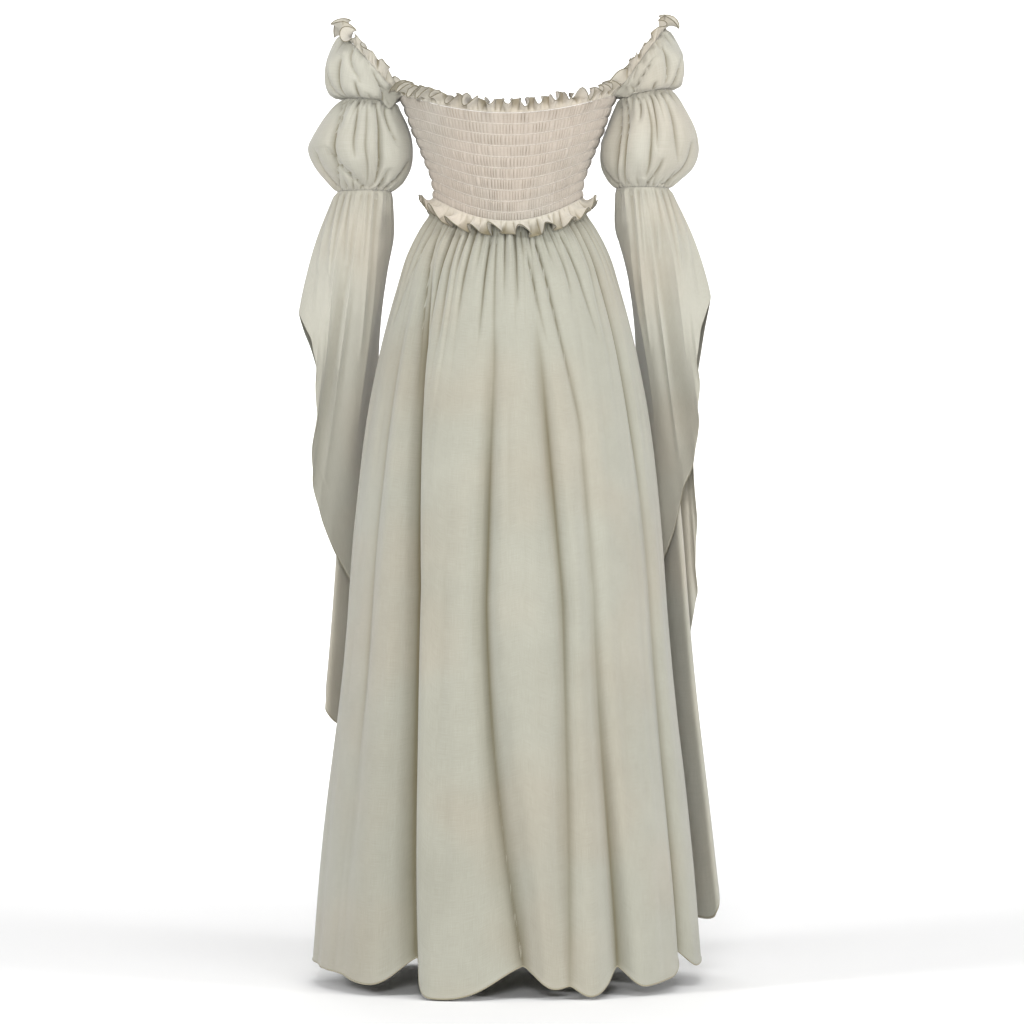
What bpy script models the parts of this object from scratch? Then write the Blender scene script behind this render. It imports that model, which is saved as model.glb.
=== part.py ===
"""Court dress: off-shoulder gown with a shirred bodice, two-puff sleeves, bells and long skirt.

The dress stands filled out as when it is worn. +Z is up, the back faces -Y, the wearer's right
is +X. The shapes are worked out in millimetres above the lowest hem line and are moved, when the
meshes are made, so that the origin is the middle of the chest.

Every piece is one cloth wall: a grid of outer points worked out from named sizes, an inner grid
a cloth's thickness behind it, and rims that close the two. Grids have rows (down or up the
cloth) and columns (around it).
"""
import bpy
import numpy as np

MM = 0.001
CHEST_HEIGHT = 1260.0          # from the lowest hem line up to the origin

# Cloth
SKIRT_CLOTH = 1.5
BODICE_CLOTH = 1.8
SLEEVE_CLOTH = 1.3
RUFFLE_CLOTH = 1.1
SEAM_GAP = 0.3                 # between two pieces that are sewn together

# Waist seam: it dips at the middle of the back and of the front
WAIST_MIDDLE = 1146.0
WAIST_SIDE_RISE = 40.0

# Bodice
BACK_NECK = 1305.0
FRONT_NECK = 1288.0
UNDERARM = 1340.0
SHIRR_BANDS = 10               # bands of cloth between eleven elastic rows
SHIRR_PUFF = 2.0               # how far a band stands out between its elastics
BODICE_COLUMNS = 26
BODICE_INNER_ROWS = 10

# Skirt
SKIRT_GATHERS = 36             # all round the waist
GATHER_DEPTH = 3.0
GATHER_FADE = 85.0             # drop over which a gather dies away
GATHER_START = 20.0            # drop over which it comes in below the seam
FOLD_GROWTH = 320.0            # drop over which a large fold reaches its depth
SKIRT_COLUMNS = 72
SKIRT_ROWS = 8
HEM_MIDDLE = 30.0              # height of the hem at the middle of the back or front
HEM_SIDE_RISE = 36.0
HEM_LIFT = 1.3                 # rise of the hem for each unit that a fold goes in

# Ruffles
NECK_RUFFLE = 18.0
NECK_WAVES_BACK = 16
NECK_WAVES_FRONT = 14
NECK_WAVE = 4.2
NECK_RUFFLE_END = 17.0         # degrees left free at each side, where the sleeve starts
NECK_RUFFLE_INSET = 0.35       # keeps the foot of the heading over the bodice's top rim
NECK_RUFFLE_LEAN = 2.0
WAIST_RUFFLE = 27.0
WAIST_WAVES = 16               # on each half
WAIST_WAVE = 5.2
WAIST_RUFFLE_LIFT = 4.0        # the heading starts this far above the seam
WAIST_RUFFLE_STAND = 19.0      # mean distance of its free edge from the seam
SLEEVE_RUFFLE = 15.0
SLEEVE_WAVES = 12
SLEEVE_WAVE = 3.8
SLEEVE_RUFFLE_SWEEP = 148.0    # degrees each way from the outside of the arm
SLEEVE_RUFFLE_INSET = 0.1
SLEEVE_RUFFLE_LEAN = 2.0
COLUMNS_A_WAVE = 4

# Sleeves
PUFF_COLUMNS = 28
UPPER_PUFF_ROWS = 5
LOWER_PUFF_ROWS = 7
UNDERARM_SEAM_ENDS = (50.0, 26.0)  # degrees from the underarm where the seam fades and is whole
PUFF_DEPTH_SHARE = 0.94        # front-to-back size of a puff against its width
PUFF_GATHERS = 14
PUFF_GATHER_DEPTH = 2.2
PUFF_GATHER_TURN = 0.6         # radians that its gathers are turned round the arm
PUFF_GATHER_EASE = 0.7         # how much of the gathers is gone half way down
UPPER_GATHERS = 14
UPPER_GATHER_DEPTH = 1.8
UPPER_GATHER_EASE = 0.75
UPPER_DROOP_ROWS = 0.45        # share of the upper puff that hangs over its arm elastic
UPPER_FULLNESS = 0.8           # below 1 fills the puff out near its seams
BELL_COLUMNS = 40
BELL_ROWS = 9
BELL_GATHERS = 10
BELL_GATHER_DEPTH = 2.2
BELL_GATHER_FADE = 70.0
BELL_GATHER_START = 12.0
BELL_FOLD_DEPTH = 5.0
BELL_FOLD_SHARE = 0.010        # of the length round the bell, where that is less
BELL_FOLD_START = 170.0        # drop over which the bell's folds come in
BELL_FLARE = 22.0              # how far the bell springs out below the elbow
BELL_FLARE_DROP = 300.0        # drop by which it has fallen in again
BELL_HANG = 0.7                # keeps the inner back of a bell plumb before it turns forwards
BELL_HANG_MIDDLE, BELL_HANG_SPREAD = 0.33, 0.08
BELL_CLEAR = 13.0              # the bells hang this far off the skirt's sections
BELL_LOFT = 52.0               # room between the two layers of a bell where the skirt bears on it
BELL_INNERMOST = 0.38          # share round a bell that lies nearest the skirt
BELL_PUSH = 22.0               # sharpness of the bend where a bell meets the skirt
BELL_PUSH_DROP = 60.0          # drop from the waist over which that starts


def table(columns, *rows):
    """Named columns of numbers from rows, one row for each section, fold or point."""
    values = np.array(rows, float)
    return {name: values[:, number] for number, name in enumerate(columns.split())}


# Drop is measured down from the waist seam; the sizes are from the middle of the dress.
SKIRT_SECTIONS = table(
    "drop half_width back_depth front_depth",
    (0, 108, 89, 88),
    (18, 113, 94, 91),
    (40, 128, 106, 98),
    (75, 147, 120, 107),
    (130, 165, 136, 118),
    (190, 181, 150, 130),
    (285, 200, 168, 147),
    (445, 222, 192, 172),
    (700, 245, 220, 205),
    (970, 275, 250, 235),
    (1190, 292, 268, 252),
)

# Skirt folds, all valleys. Angles are degrees from the middle of the back towards +X at the top,
# half way and hem; a fold starts at a drop; depths and spreads (degrees) are half way and at hem.
SKIRT_FOLDS = table(
    "angle_top angle_half angle_hem start depth_half depth_hem spread_half spread_hem",
    (-60, -60, -57, 60, 9, 3, 5, 6),
    (-52, -37, -31, 50, 31, 38, 4.2, 5),
    (-5, -8, 5, 150, 19, 38, 4.5, 9),
    (11, 21, 19, 130, 15, 14, 4, 4.5),
    (27, 33, 37, 170, 7, 25, 3.5, 4.5),
    (62, 65, 68, 110, 9, 20, 4, 4.5),
    (100, 103, 108, 150, 12, 24, 4.5, 6),
    (130, 124, 127, 80, 24, 30, 4.5, 6.5),
    (150, 155, 157, 200, 9, 20, 4.5, 6),
    (176, 172, 178, 100, 20, 34, 4.5, 8),
    (-160, -152, -155, 140, 13, 24, 4.5, 6),
    (-128, -132, -125, 90, 25, 32, 4.5, 6.5),
    (-104, -100, -106, 160, 10, 22, 4.5, 6),
)

# Share runs from the waist seam up to the neck seam.
BODICE_SECTIONS = table(
    "share half_width back_depth front_depth",
    (0.00, 108, 89, 88),
    (0.18, 111, 91, 94),
    (0.40, 123, 96, 107),
    (0.68, 141, 103, 120),
    (0.90, 153, 106, 120),
    (1.00, 160, 107, 116),
)

# The neck end of each upper puff: its seam runs from a low point beside the bodice up to a high
# point at the outside of the arm. Out is the distance from the middle of the dress.
SIDES = {"left": -1.0, "right": 1.0}
UPPER_PUFFS = {
    "left": dict(low_out=164, low_height=1342, high_out=244, high_height=1431,
                 puff_out=30, depth=50, droop=9),
    "right": dict(low_out=164, low_height=1346, high_out=232, high_height=1439,
                  puff_out=27, depth=48, droop=9),
}

# Lower puffs from the arm elastic down to the elbow elastic. Tilt lifts the outside of a section.
LOWER_PUFFS = {
    "left": table(
        "height tilt out half_width",
        (1333, 3, 204.5, 38),
        (1317, 3, 210, 51),
        (1290, 2, 214, 66),
        (1262, 1, 217, 74),
        (1235, 0, 213, 70),
        (1213, 0, 210, 56),
        (1199, 0, 212, 40),
    ),
    "right": table(
        "height tilt out half_width",
        (1344, 7, 203, 37),
        (1325, 5, 208, 49),
        (1294, 3, 211, 63),
        (1262, 0, 208, 70),
        (1235, -1, 204, 67),
        (1216, -1, 199, 53),
        (1204, 0, 199, 39),
    ),
}

# The hem of each bell, once round it. Share 0 is the corner at the outside of the arm, 0.25 the
# back, 0.5 the side next to the skirt and 0.75 the front; front is the distance forwards.
BELL_HEMS = {
    "left": table(
        "share out front height",
        (0.00, 313, -14, 1020),
        (0.04, 292, -34, 985),
        (0.08, 283, -36, 945),
        (0.13, 284, -28, 873),
        (0.18, 287, -12, 802),
        (0.23, 282, 8, 745),
        (0.29, 262, 40, 680),
        (0.35, 230, 84, 620),
        (0.41, 195, 137, 545),
        (0.46, 168, 174, 465),
        (0.50, 154, 194, 400),
        (0.55, 172, 198, 370),
        (0.595, 214, 174, 384),
        (0.635, 262, 122, 416),
        (0.665, 271, 122, 446),
        (0.70, 261, 150, 500),
        (0.76, 244, 172, 565),
        (0.82, 248, 156, 650),
        (0.88, 261, 118, 760),
        (0.93, 274, 70, 880),
        (0.97, 297, 22, 980),
    ),
    "right": table(
        "share out front height",
        (0.00, 303, -14, 1040),
        (0.04, 287, -32, 1005),
        (0.08, 279, -35, 955),
        (0.12, 283, -28, 900),
        (0.17, 279, -14, 845),
        (0.21, 270, 4, 795),
        (0.25, 256, 26, 757),
        (0.30, 246, 54, 705),
        (0.35, 222, 98, 635),
        (0.40, 190, 148, 545),
        (0.44, 168, 174, 455),
        (0.475, 153, 204, 365),
        (0.51, 170, 226, 262),
        (0.54, 206, 216, 185),
        (0.575, 260, 176, 122),
        (0.605, 305, 110, 116),
        (0.63, 309, 112, 160),
        (0.655, 297, 136, 230),
        (0.68, 283, 158, 297),
        (0.73, 287, 162, 362),
        (0.79, 268, 170, 480),
        (0.85, 284, 138, 580),
        (0.90, 273, 112, 680),
        (0.94, 274, 74, 810),
        (0.975, 286, 26, 965),
    ),
}


def through(values_at, knots, values):
    """A smooth curve through the rows of a table, read at the given places."""
    slopes = np.gradient(values, knots)
    place = np.clip(values_at, knots[0], knots[-1])
    row = np.clip(np.searchsorted(knots, place, side="right") - 1, 0, len(knots) - 2)
    width = knots[row + 1] - knots[row]
    s = (place - knots[row]) / width
    rise = values[row + 1] - values[row]
    slope_0 = slopes[row] * width
    slope_1 = slopes[row + 1] * width
    bend = s * (1 - s) * ((1 - s) * (slope_0 - rise) - s * (slope_1 - rise))
    return values[row] + rise * s + bend


def around(share, knots, values):
    """The same for a closed table whose shares run once round from 0 to 1."""
    wide_knots = np.concatenate([knots - 1, knots, knots + 1])
    return through(share % 1.0, wide_knots, np.tile(values, 3))


def wrapped(angle):
    """Degrees brought between -180 and 180."""
    return (angle + 180.0) % 360.0 - 180.0


def grid(rows, columns):
    """Row shares down the side and column shares along the top of a grid."""
    return np.meshgrid(np.linspace(0, 1, rows + 1), np.linspace(0, 1, columns + 1), indexing="ij")


def points(x, y, z):
    """Stack three arrays as grid points."""
    return np.stack(np.broadcast_arrays(x, y, z), axis=-1).astype(float)


def normals(sheet, closed):
    """Unit normals of a grid, from the differences of its rows and of its columns."""
    if closed:
        along = np.roll(sheet, -1, axis=1) - np.roll(sheet, 1, axis=1)
    else:
        along = np.gradient(sheet, axis=1)
    normal = np.cross(along, np.gradient(sheet, axis=0))
    return normal / np.linalg.norm(normal, axis=2, keepdims=True)


# ---------------------------------------------------------------- shapes

def waist_height(angle):
    """Height of the waist seam: lowest in the middle of back and front, highest at the sides."""
    return WAIST_MIDDLE + WAIST_SIDE_RISE * np.sin(np.radians(angle)) ** 2


def neck_height(angle):
    """Height of the neck seam: the front is a little lower, both rise to the underarm."""
    middle = np.where(np.abs(angle) < 90, BACK_NECK, FRONT_NECK)
    return middle + (UNDERARM - middle) * np.sin(np.radians(angle)) ** 2


def skirt_folds(angle, down, drop):
    """How far the large folds go in, as a sum of soft valleys that wander down the skirt."""
    depth = np.zeros_like(drop)
    folds = SKIRT_FOLDS
    upper = np.minimum(down * 2, 1) ** 0.8
    lower = np.clip(down * 2 - 1, 0, 1)
    for n in range(len(folds["start"])):
        turn_upper = wrapped(folds["angle_half"][n] - folds["angle_top"][n])
        turn_lower = wrapped(folds["angle_hem"][n] - folds["angle_half"][n])
        path = folds["angle_top"][n] + turn_upper * upper + turn_lower * lower
        deep = folds["depth_half"][n] * (1 - lower) + folds["depth_hem"][n] * lower
        spread = folds["spread_half"][n] * (1 - lower) + folds["spread_hem"][n] * lower
        growth = np.clip((drop - folds["start"][n]) / FOLD_GROWTH, 0, 1)
        growth = growth * (2 - growth)
        off = wrapped(angle - path) / spread
        depth += deep * growth * np.exp(-0.5 * off ** 2)
    return depth


def oval(angle, half_width, back_depth, front_depth):
    """A point and outward direction on an oval whose back and front depths differ."""
    turn = np.radians(angle)
    depth = np.where(np.abs(angle) <= 90, back_depth, front_depth)
    x, y = half_width * np.sin(turn), -depth * np.cos(turn)
    out_x, out_y = np.sin(turn) / half_width, -np.cos(turn) / depth
    size = np.hypot(out_x, out_y)
    return x, y, out_x / size, out_y / size


def skirt_sizes(drop):
    """Half width, back depth and front depth of the skirt at a drop below the waist seam."""
    names = ("half_width", "back_depth", "front_depth")
    return [through(drop, SKIRT_SECTIONS["drop"], SKIRT_SECTIONS[name]) for name in names]


def skirt_surface(angle, down):
    """Points of the skirt at degrees from the middle back and shares of the way to the hem."""
    whole = np.ones_like(down)
    lift = HEM_LIFT * skirt_folds(angle, whole, whole * WAIST_MIDDLE)
    hem = HEM_MIDDLE + HEM_SIDE_RISE * np.sin(np.radians(angle)) ** 2 + lift
    height = waist_height(angle) - SEAM_GAP + (hem - waist_height(angle) + SEAM_GAP) * down
    drop = waist_height(angle) - height
    x, y, out_x, out_y = oval(angle, *skirt_sizes(drop))
    gather = GATHER_DEPTH * np.cos(np.radians(angle * SKIRT_GATHERS)) * np.exp(-drop / GATHER_FADE)
    move = gather * np.minimum(drop / GATHER_START, 1) - skirt_folds(angle, down, drop)
    return points(x + out_x * move, y + out_y * move, height)


def bodice_surface(angle, share):
    """Points of the bodice without its shirring, by degrees from the back and share upwards."""
    low = waist_height(angle)
    height = low + (neck_height(angle) - low) * share
    names = ("half_width", "back_depth", "front_depth")
    sizes = [through(share, BODICE_SECTIONS["share"], BODICE_SECTIONS[name]) for name in names]
    x, y, out_x, out_y = oval(angle, *sizes)
    return points(x, y, height), points(out_x, out_y, np.zeros_like(x))


def sleeve_points(side, out, front, height):
    """Points beside the dress: out from its middle on one side, forwards, and up."""
    return points(SIDES[side] * out, front, height)


def underarm_share(turn):
    """1 where an upper puff is sewn to the top of the bodice under the arm, 0 round the rest."""
    wide, narrow = np.cos(np.radians(UNDERARM_SEAM_ENDS))
    share = np.clip((-np.cos(turn) - wide) / (narrow - wide), 0, 1)
    return share * share * (3 - 2 * share)


def upper_loop(side, turn):
    """The neck end of an upper puff by radians from the outside of the arm towards the back."""
    p = UPPER_PUFFS[side]
    outside = (1 + np.cos(turn)) / 2
    out = p["low_out"] + (p["high_out"] - p["low_out"]) * outside
    height = p["low_height"] + (p["high_height"] - p["low_height"]) * outside
    front = -p["depth"] * np.sin(turn)
    top = {name: values[-1] for name, values in BODICE_SECTIONS.items()}
    depth = np.where(front < 0, top["back_depth"], top["front_depth"])
    edge, _ = bodice_surface(np.degrees(np.arccos(-front / depth)), np.ones_like(front))
    sewn = underarm_share(turn)
    out = out + (edge[..., 0] + SEAM_GAP / 3 - out) * sewn
    height = height + (edge[..., 2] + SEAM_GAP - height) * sewn
    return out, front, height


def arm_ring(side, turn, row):
    """A lower puff's section as a ring: out, front and height; row -1 is the elbow elastic."""
    p = LOWER_PUFFS[side]
    half = p["half_width"][row]
    return (p["out"][row] + half * np.cos(turn), -half * PUFF_DEPTH_SHARE * np.sin(turn),
            p["height"][row] + p["tilt"][row] * np.cos(turn))


def upper_puff_surface(side, turn, up):
    """Upper puff: from the arm elastic to the neck seam, swelling outwards and drooping a little."""
    p = UPPER_PUFFS[side]
    ring_out, ring_front, ring_height = arm_ring(side, turn, 0)
    loop_out, loop_front, loop_height = upper_loop(side, turn)
    outside = ((1 + np.cos(turn)) / 2) ** UPPER_FULLNESS
    free = 1 - underarm_share(turn)
    swell = np.sin(np.pi * up ** UPPER_FULLNESS) ** UPPER_FULLNESS * p["puff_out"] * outside
    ends = (1 - UPPER_GATHER_EASE * np.sin(np.pi * up)) * free
    swell = swell + UPPER_GATHER_DEPTH * np.cos(UPPER_GATHERS * turn) * ends * np.sqrt(outside)
    hang = np.sin(np.pi * np.minimum(up / UPPER_DROOP_ROWS, 1))
    droop = p["droop"] * hang * np.sqrt(outside) * free
    out = ring_out + (loop_out - ring_out) * up + swell * np.cos(turn)
    front = ring_front + (loop_front - ring_front) * up - swell * np.sin(turn)
    height = ring_height + SEAM_GAP / 2 + (loop_height - ring_height) * up - droop
    return sleeve_points(side, out, front, height)


def lower_puff_surface(side, turn, down):
    """Lower puff: round sections between two elastics with gathers that fade to its middle."""
    p = LOWER_PUFFS[side]
    rows = np.linspace(0, 1, len(p["height"]))
    half = through(down, rows, p["half_width"])
    middle = through(down, rows, p["out"])
    height = through(down, rows, p["height"]) + through(down, rows, p["tilt"]) * np.cos(turn)
    bulge = np.sin(np.pi * down)
    gather = PUFF_GATHER_DEPTH * np.cos(PUFF_GATHERS * turn + PUFF_GATHER_TURN)
    half = half + gather * (1 - PUFF_GATHER_EASE * bulge) * np.minimum(bulge * 5, 1)
    height = height + SEAM_GAP / 2 - SEAM_GAP * (1 - down)
    return sleeve_points(side, middle + half * np.cos(turn),
                         -half * PUFF_DEPTH_SHARE * np.sin(turn), height)


def skirt_side(around_share):
    """0 on the part of a bell that faces the skirt, 1 on the part that faces away."""
    return ((1 - np.cos(2 * np.pi * (around_share - BELL_INNERMOST))) / 2) ** 0.75


def clear_of_skirt(out, front, height, clear):
    """Push points of a bell outwards until they lie clear of the skirt's plain sections.

    Place is 1 on the clear line round the skirt; a soft maximum of place and 1 is where a point
    goes, so the bend between the free cloth and the cloth that bears on the skirt is rounded.
    """
    drop = np.maximum(WAIST_MIDDLE + WAIST_SIDE_RISE - height, 0)
    half_width, _, front_depth = skirt_sizes(drop)
    place = np.hypot(out / (half_width + clear), front / (front_depth + clear))
    push = np.logaddexp(place * BELL_PUSH, BELL_PUSH) / BELL_PUSH / place
    push = 1 + (push - 1) * np.clip(drop / BELL_PUSH_DROP, 0, 1)
    return out * push, front * push


def room_for_folds(sheet):
    """Fold depth on a bell: shallower where its columns crowd together."""
    step = np.linalg.norm(np.roll(sheet, -1, axis=1) - np.roll(sheet, 1, axis=1), axis=2)
    return np.minimum(BELL_FOLD_DEPTH, BELL_FOLD_SHARE * step * sheet.shape[1] / 2)


def bell_surface(side, around_share, down):
    """Bell: from the elbow elastic to its slanted hem, with soft folds across the fall."""
    hem = BELL_HEMS[side]
    turn = 2 * np.pi * around_share
    ring_out, ring_front, ring_height = arm_ring(side, turn, -1)
    hem_out, hem_front, hem_height = (around(around_share, hem["share"], hem[name])
                                      for name in ("out", "front", "height"))
    start = ring_height - SEAM_GAP / 2
    height = start + (hem_height - start) * down
    drop = start - height
    out = ring_out + (hem_out - ring_out) * down
    plumb = 1 + BELL_HANG * np.exp(-((around_share - BELL_HANG_MIDDLE) / BELL_HANG_SPREAD) ** 2)
    front = ring_front + (hem_front - ring_front) * down ** plumb
    away = skirt_side(around_share)
    spring = np.sin(np.pi * np.minimum(drop / BELL_FLARE_DROP, 1))
    flare = BELL_FLARE * spring * (1 - down) * away
    out = out + flare * np.cos(turn)
    front = front - flare * np.sin(turn)
    out, front = clear_of_skirt(out, front, height, BELL_CLEAR + BELL_LOFT * away)
    sheet = sleeve_points(side, out, front, height)
    fold = (np.sin(5 * turn + 0.9) + 0.5 * np.sin(8 * turn + 2.1 + 2 * down)) * away
    fold = fold * np.minimum(drop / BELL_FOLD_START, 1) * room_for_folds(sheet)
    gather = BELL_GATHER_DEPTH * np.cos(BELL_GATHERS * turn) * np.exp(-drop / BELL_GATHER_FADE)
    gather = gather * np.minimum(drop / BELL_GATHER_START, 1)
    outward = normals(sheet, True) * -SIDES[side]
    return sheet + outward * (fold + gather)[..., None]


# ---------------------------------------------------------------- meshes

def cloth_material(name, colour):
    """Matt woven cloth of one colour."""
    material = bpy.data.materials.new(name)
    material.use_nodes = True
    shader = material.node_tree.nodes["Principled BSDF"]
    shader.inputs["Base Color"].default_value = (*colour, 1.0)
    shader.inputs["Roughness"].default_value = 0.88
    shader.inputs["Metallic"].default_value = 0.0
    return material


def sheet_faces(ids, flip):
    """Two triangles for each cell of a grid of vertex numbers."""
    a, b = ids[:-1, :-1].ravel(), ids[:-1, 1:].ravel()
    c, d = ids[1:, 1:].ravel(), ids[1:, :-1].ravel()
    faces = np.concatenate([np.stack([a, b, c], 1), np.stack([a, c, d], 1)])
    return faces[:, ::-1] if flip else faces


def rim_faces(edge, other):
    """Close the rim between two rows of vertex numbers, which may differ in length."""
    faces, i, j = [], 0, 0
    while i < len(edge) - 1 or j < len(other) - 1:
        step_edge = (i + 1) / (len(edge) - 1) if i < len(edge) - 1 else np.inf
        step_other = (j + 1) / (len(other) - 1) if j < len(other) - 1 else np.inf
        if step_edge <= step_other:
            faces.append((edge[i], other[j], edge[i + 1]))
            i += 1
        else:
            faces.append((edge[i], other[j], other[j + 1]))
            j += 1
    return np.array(faces)


def cloth_wall(name, outer, inner, closed, material, collection):
    """One solid from an outer and an inner grid: both sheets and every rim between them."""
    rows, columns = outer.shape[:2]
    inner_rows = inner.shape[0]
    ids = np.arange(rows * columns).reshape(rows, columns)
    inner_ids = np.arange(inner_rows * columns).reshape(inner_rows, columns) + ids.size
    if closed:
        ids = np.concatenate([ids, ids[:, :1]], 1)
        inner_ids = np.concatenate([inner_ids, inner_ids[:, :1]], 1)
    faces = [sheet_faces(ids, False), sheet_faces(inner_ids, True),
             rim_faces(ids[0], inner_ids[0]), rim_faces(ids[-1], inner_ids[-1])[:, ::-1]]
    if not closed:
        faces.append(rim_faces(ids[:, 0], inner_ids[:, 0])[:, ::-1])
        faces.append(rim_faces(ids[:, -1], inner_ids[:, -1]))
    faces = np.concatenate(faces)
    verts = np.concatenate([outer.reshape(-1, 3), inner.reshape(-1, 3)]) * MM
    verts[:, 2] -= CHEST_HEIGHT * MM
    a, b, c = (verts[faces[:, k]] for k in range(3))
    if np.sum(a * np.cross(b, c)) < 0:
        faces = faces[:, ::-1]
    mesh = bpy.data.meshes.new(name)
    mesh.from_pydata(verts.tolist(), [], faces.tolist())
    mesh.update()
    mesh.materials.append(material)
    part = bpy.data.objects.new(name, mesh)
    collection.objects.link(part)
    return part


def inside_of(outer, cloth, closed, inward):
    """An inner grid: each point moved along its own normal, on the side that faces inward."""
    normal = normals(outer, closed)
    if np.sum(normal * inward) < 0:
        normal = -normal
    return outer + normal * cloth


def to_middle(sheet):
    """Directions from a grid's points towards the upright line through its middle."""
    middle = sheet.reshape(-1, 3).mean(0)
    middle_line = sheet * (0, 0, 1) + middle * (1, 1, 0)
    return middle_line - sheet


def half_angles(half, columns):
    """Column angles in degrees from the middle back: the back is -90 to 90, the front 90 to 270."""
    start = -90.0 if half == "back" else 90.0
    return np.linspace(start, start + 180.0, columns + 1)


def set_side_seams(sheet, half):
    """Bring the two side edges of a half to their side of the side seam."""
    line = -SEAM_GAP / 2 if half == "back" else SEAM_GAP / 2
    sheet[:, 0, 1] = line
    sheet[:, -1, 1] = line


# ---------------------------------------------------------------- pieces

def skirt_half(half, material, collection):
    """One skirt panel: gathered at the waist, hanging in uneven folds to a wavy hem."""
    down = np.linspace(0, 1, SKIRT_ROWS + 1) ** 1.45
    down, angle = np.meshgrid(down, half_angles(half, SKIRT_COLUMNS), indexing="ij")
    outer = skirt_surface(angle, down)
    inner = inside_of(outer, SKIRT_CLOTH, False, outer * (-1, -1, 0))
    inner[0, :, 2] = outer[0, :, 2]
    for sheet in (outer, inner):
        set_side_seams(sheet, half)
    cloth_wall("skirt_" + half, outer, inner, False, material, collection)


def bodice_half(half, material, collection):
    """One bodice panel: bands puffed between its elastic rows outside, plain inside."""
    angles = half_angles(half, BODICE_COLUMNS)
    share, angle = np.meshgrid(np.linspace(0, 1, SHIRR_BANDS * 2 + 1), angles, indexing="ij")
    outer, away = bodice_surface(angle, share)
    outer = outer + away * (SHIRR_PUFF * (np.arange(SHIRR_BANDS * 2 + 1) % 2))[:, None, None]
    share, angle = np.meshgrid(np.linspace(0, 1, BODICE_INNER_ROWS + 1), angles, indexing="ij")
    inner, away = bodice_surface(angle, share)
    inner = inner - away * BODICE_CLOTH
    for sheet in (outer, inner):
        set_side_seams(sheet, half)
    cloth_wall("bodice_" + half, outer, inner, False, material, collection)


def ruffle(name, foot, rise, across, waves, wave, material, collection, half=None):
    """A gathered strip: it leaves its foot line along rise and waves across that direction."""
    columns = waves * COLUMNS_A_WAVE
    share = np.linspace(0, 1, columns + 1)
    up = np.array([0.0, 1.0])[:, None]
    swing = wave * np.cos(2 * np.pi * waves * share)[None, :] * up
    outer = foot[None] + rise[None] * up[..., None] + across[None] * swing[..., None]
    inner = inside_of(outer, RUFFLE_CLOTH, False, -across[None] * np.ones((2, 1, 1)))
    inner[0, :, 2] = outer[0, :, 2]
    if half:
        set_side_seams(outer, half)
        set_side_seams(inner, half)
    cloth_wall(name, outer, inner, False, material, collection)


def neck_ruffle(half, material, collection):
    """The heading above the top elastic: it stands up and leans out a little."""
    waves = NECK_WAVES_BACK if half == "back" else NECK_WAVES_FRONT
    columns = waves * COLUMNS_A_WAVE
    angle = half_angles(half, columns) + np.linspace(1, -1, columns + 1) * NECK_RUFFLE_END
    foot, away = bodice_surface(angle, np.ones_like(angle))
    foot = foot - away * NECK_RUFFLE_INSET
    foot[:, 2] += SEAM_GAP
    rise = points(0, 0, np.full_like(angle, NECK_RUFFLE)) + away * NECK_RUFFLE_LEAN
    ruffle("neck_ruffle_" + half, foot, rise, away, waves, NECK_WAVE, material, collection)


def waist_ruffle(half, material, collection):
    """The heading below the lowest elastic: it falls over the top of the skirt and stands off it."""
    columns = WAIST_WAVES * COLUMNS_A_WAVE
    angle = half_angles(half, columns)
    foot, away = bodice_surface(angle, np.zeros_like(angle))
    foot = foot + away * (SHIRR_PUFF + RUFFLE_CLOTH + SEAM_GAP)
    foot[:, 2] += WAIST_RUFFLE_LIFT
    stand = WAIST_RUFFLE_STAND - SHIRR_PUFF
    rise = points(0, 0, np.full_like(angle, -WAIST_RUFFLE)) + away * stand
    ruffle("waist_ruffle_" + half, foot, rise, away, WAIST_WAVES, WAIST_WAVE, material,
           collection, half)


def upper_puff(side, material, collection):
    """The small puff that sits off the shoulder."""
    up, share = grid(UPPER_PUFF_ROWS, PUFF_COLUMNS)
    outer = upper_puff_surface(side, 2 * np.pi * share, up)[:, :-1]
    inner = inside_of(outer, SLEEVE_CLOTH, True, to_middle(outer))
    inner[0, :, 2] = outer[0, :, 2]
    cloth_wall("upper_puff_" + side, outer, inner, True, material, collection)


def sleeve_ruffle(side, material, collection):
    """The heading on the neck edge of an upper puff, round the outside of the arm."""
    columns = SLEEVE_WAVES * COLUMNS_A_WAVE
    turn = np.radians(np.linspace(-SLEEVE_RUFFLE_SWEEP, SLEEVE_RUFFLE_SWEEP, columns + 1))
    out, front, height = upper_loop(side, turn)
    foot = sleeve_points(side, out, front, height + SEAM_GAP * 2)
    across = sleeve_points(side, np.cos(turn), -np.sin(turn), np.zeros_like(turn))
    foot = foot - across * SLEEVE_RUFFLE_INSET
    rise = points(0, 0, np.full_like(turn, SLEEVE_RUFFLE)) + across * SLEEVE_RUFFLE_LEAN
    ruffle("sleeve_ruffle_" + side, foot, rise, across, SLEEVE_WAVES, SLEEVE_WAVE, material,
           collection)


def lower_puff(side, material, collection):
    """The large puff between the two arm elastics."""
    down, share = grid(LOWER_PUFF_ROWS, PUFF_COLUMNS)
    outer = lower_puff_surface(side, 2 * np.pi * share, down)[:, :-1]
    inner = inside_of(outer, SLEEVE_CLOTH, True, to_middle(outer))
    inner[0, :, 2] = outer[0, :, 2]
    inner[-1, :, 2] = outer[-1, :, 2]
    cloth_wall("lower_puff_" + side, outer, inner, True, material, collection)


def bell_sleeve(side, material, collection):
    """The long trumpet sleeve below the elbow elastic."""
    down, share = grid(BELL_ROWS, BELL_COLUMNS)
    outer = bell_surface(side, share[:, :-1], down[:, :-1])
    inner = inside_of(outer, SLEEVE_CLOTH, True, to_middle(outer))
    inner[0, :, 2] = outer[0, :, 2]
    cloth_wall("bell_sleeve_" + side, outer, inner, True, material, collection)


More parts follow.
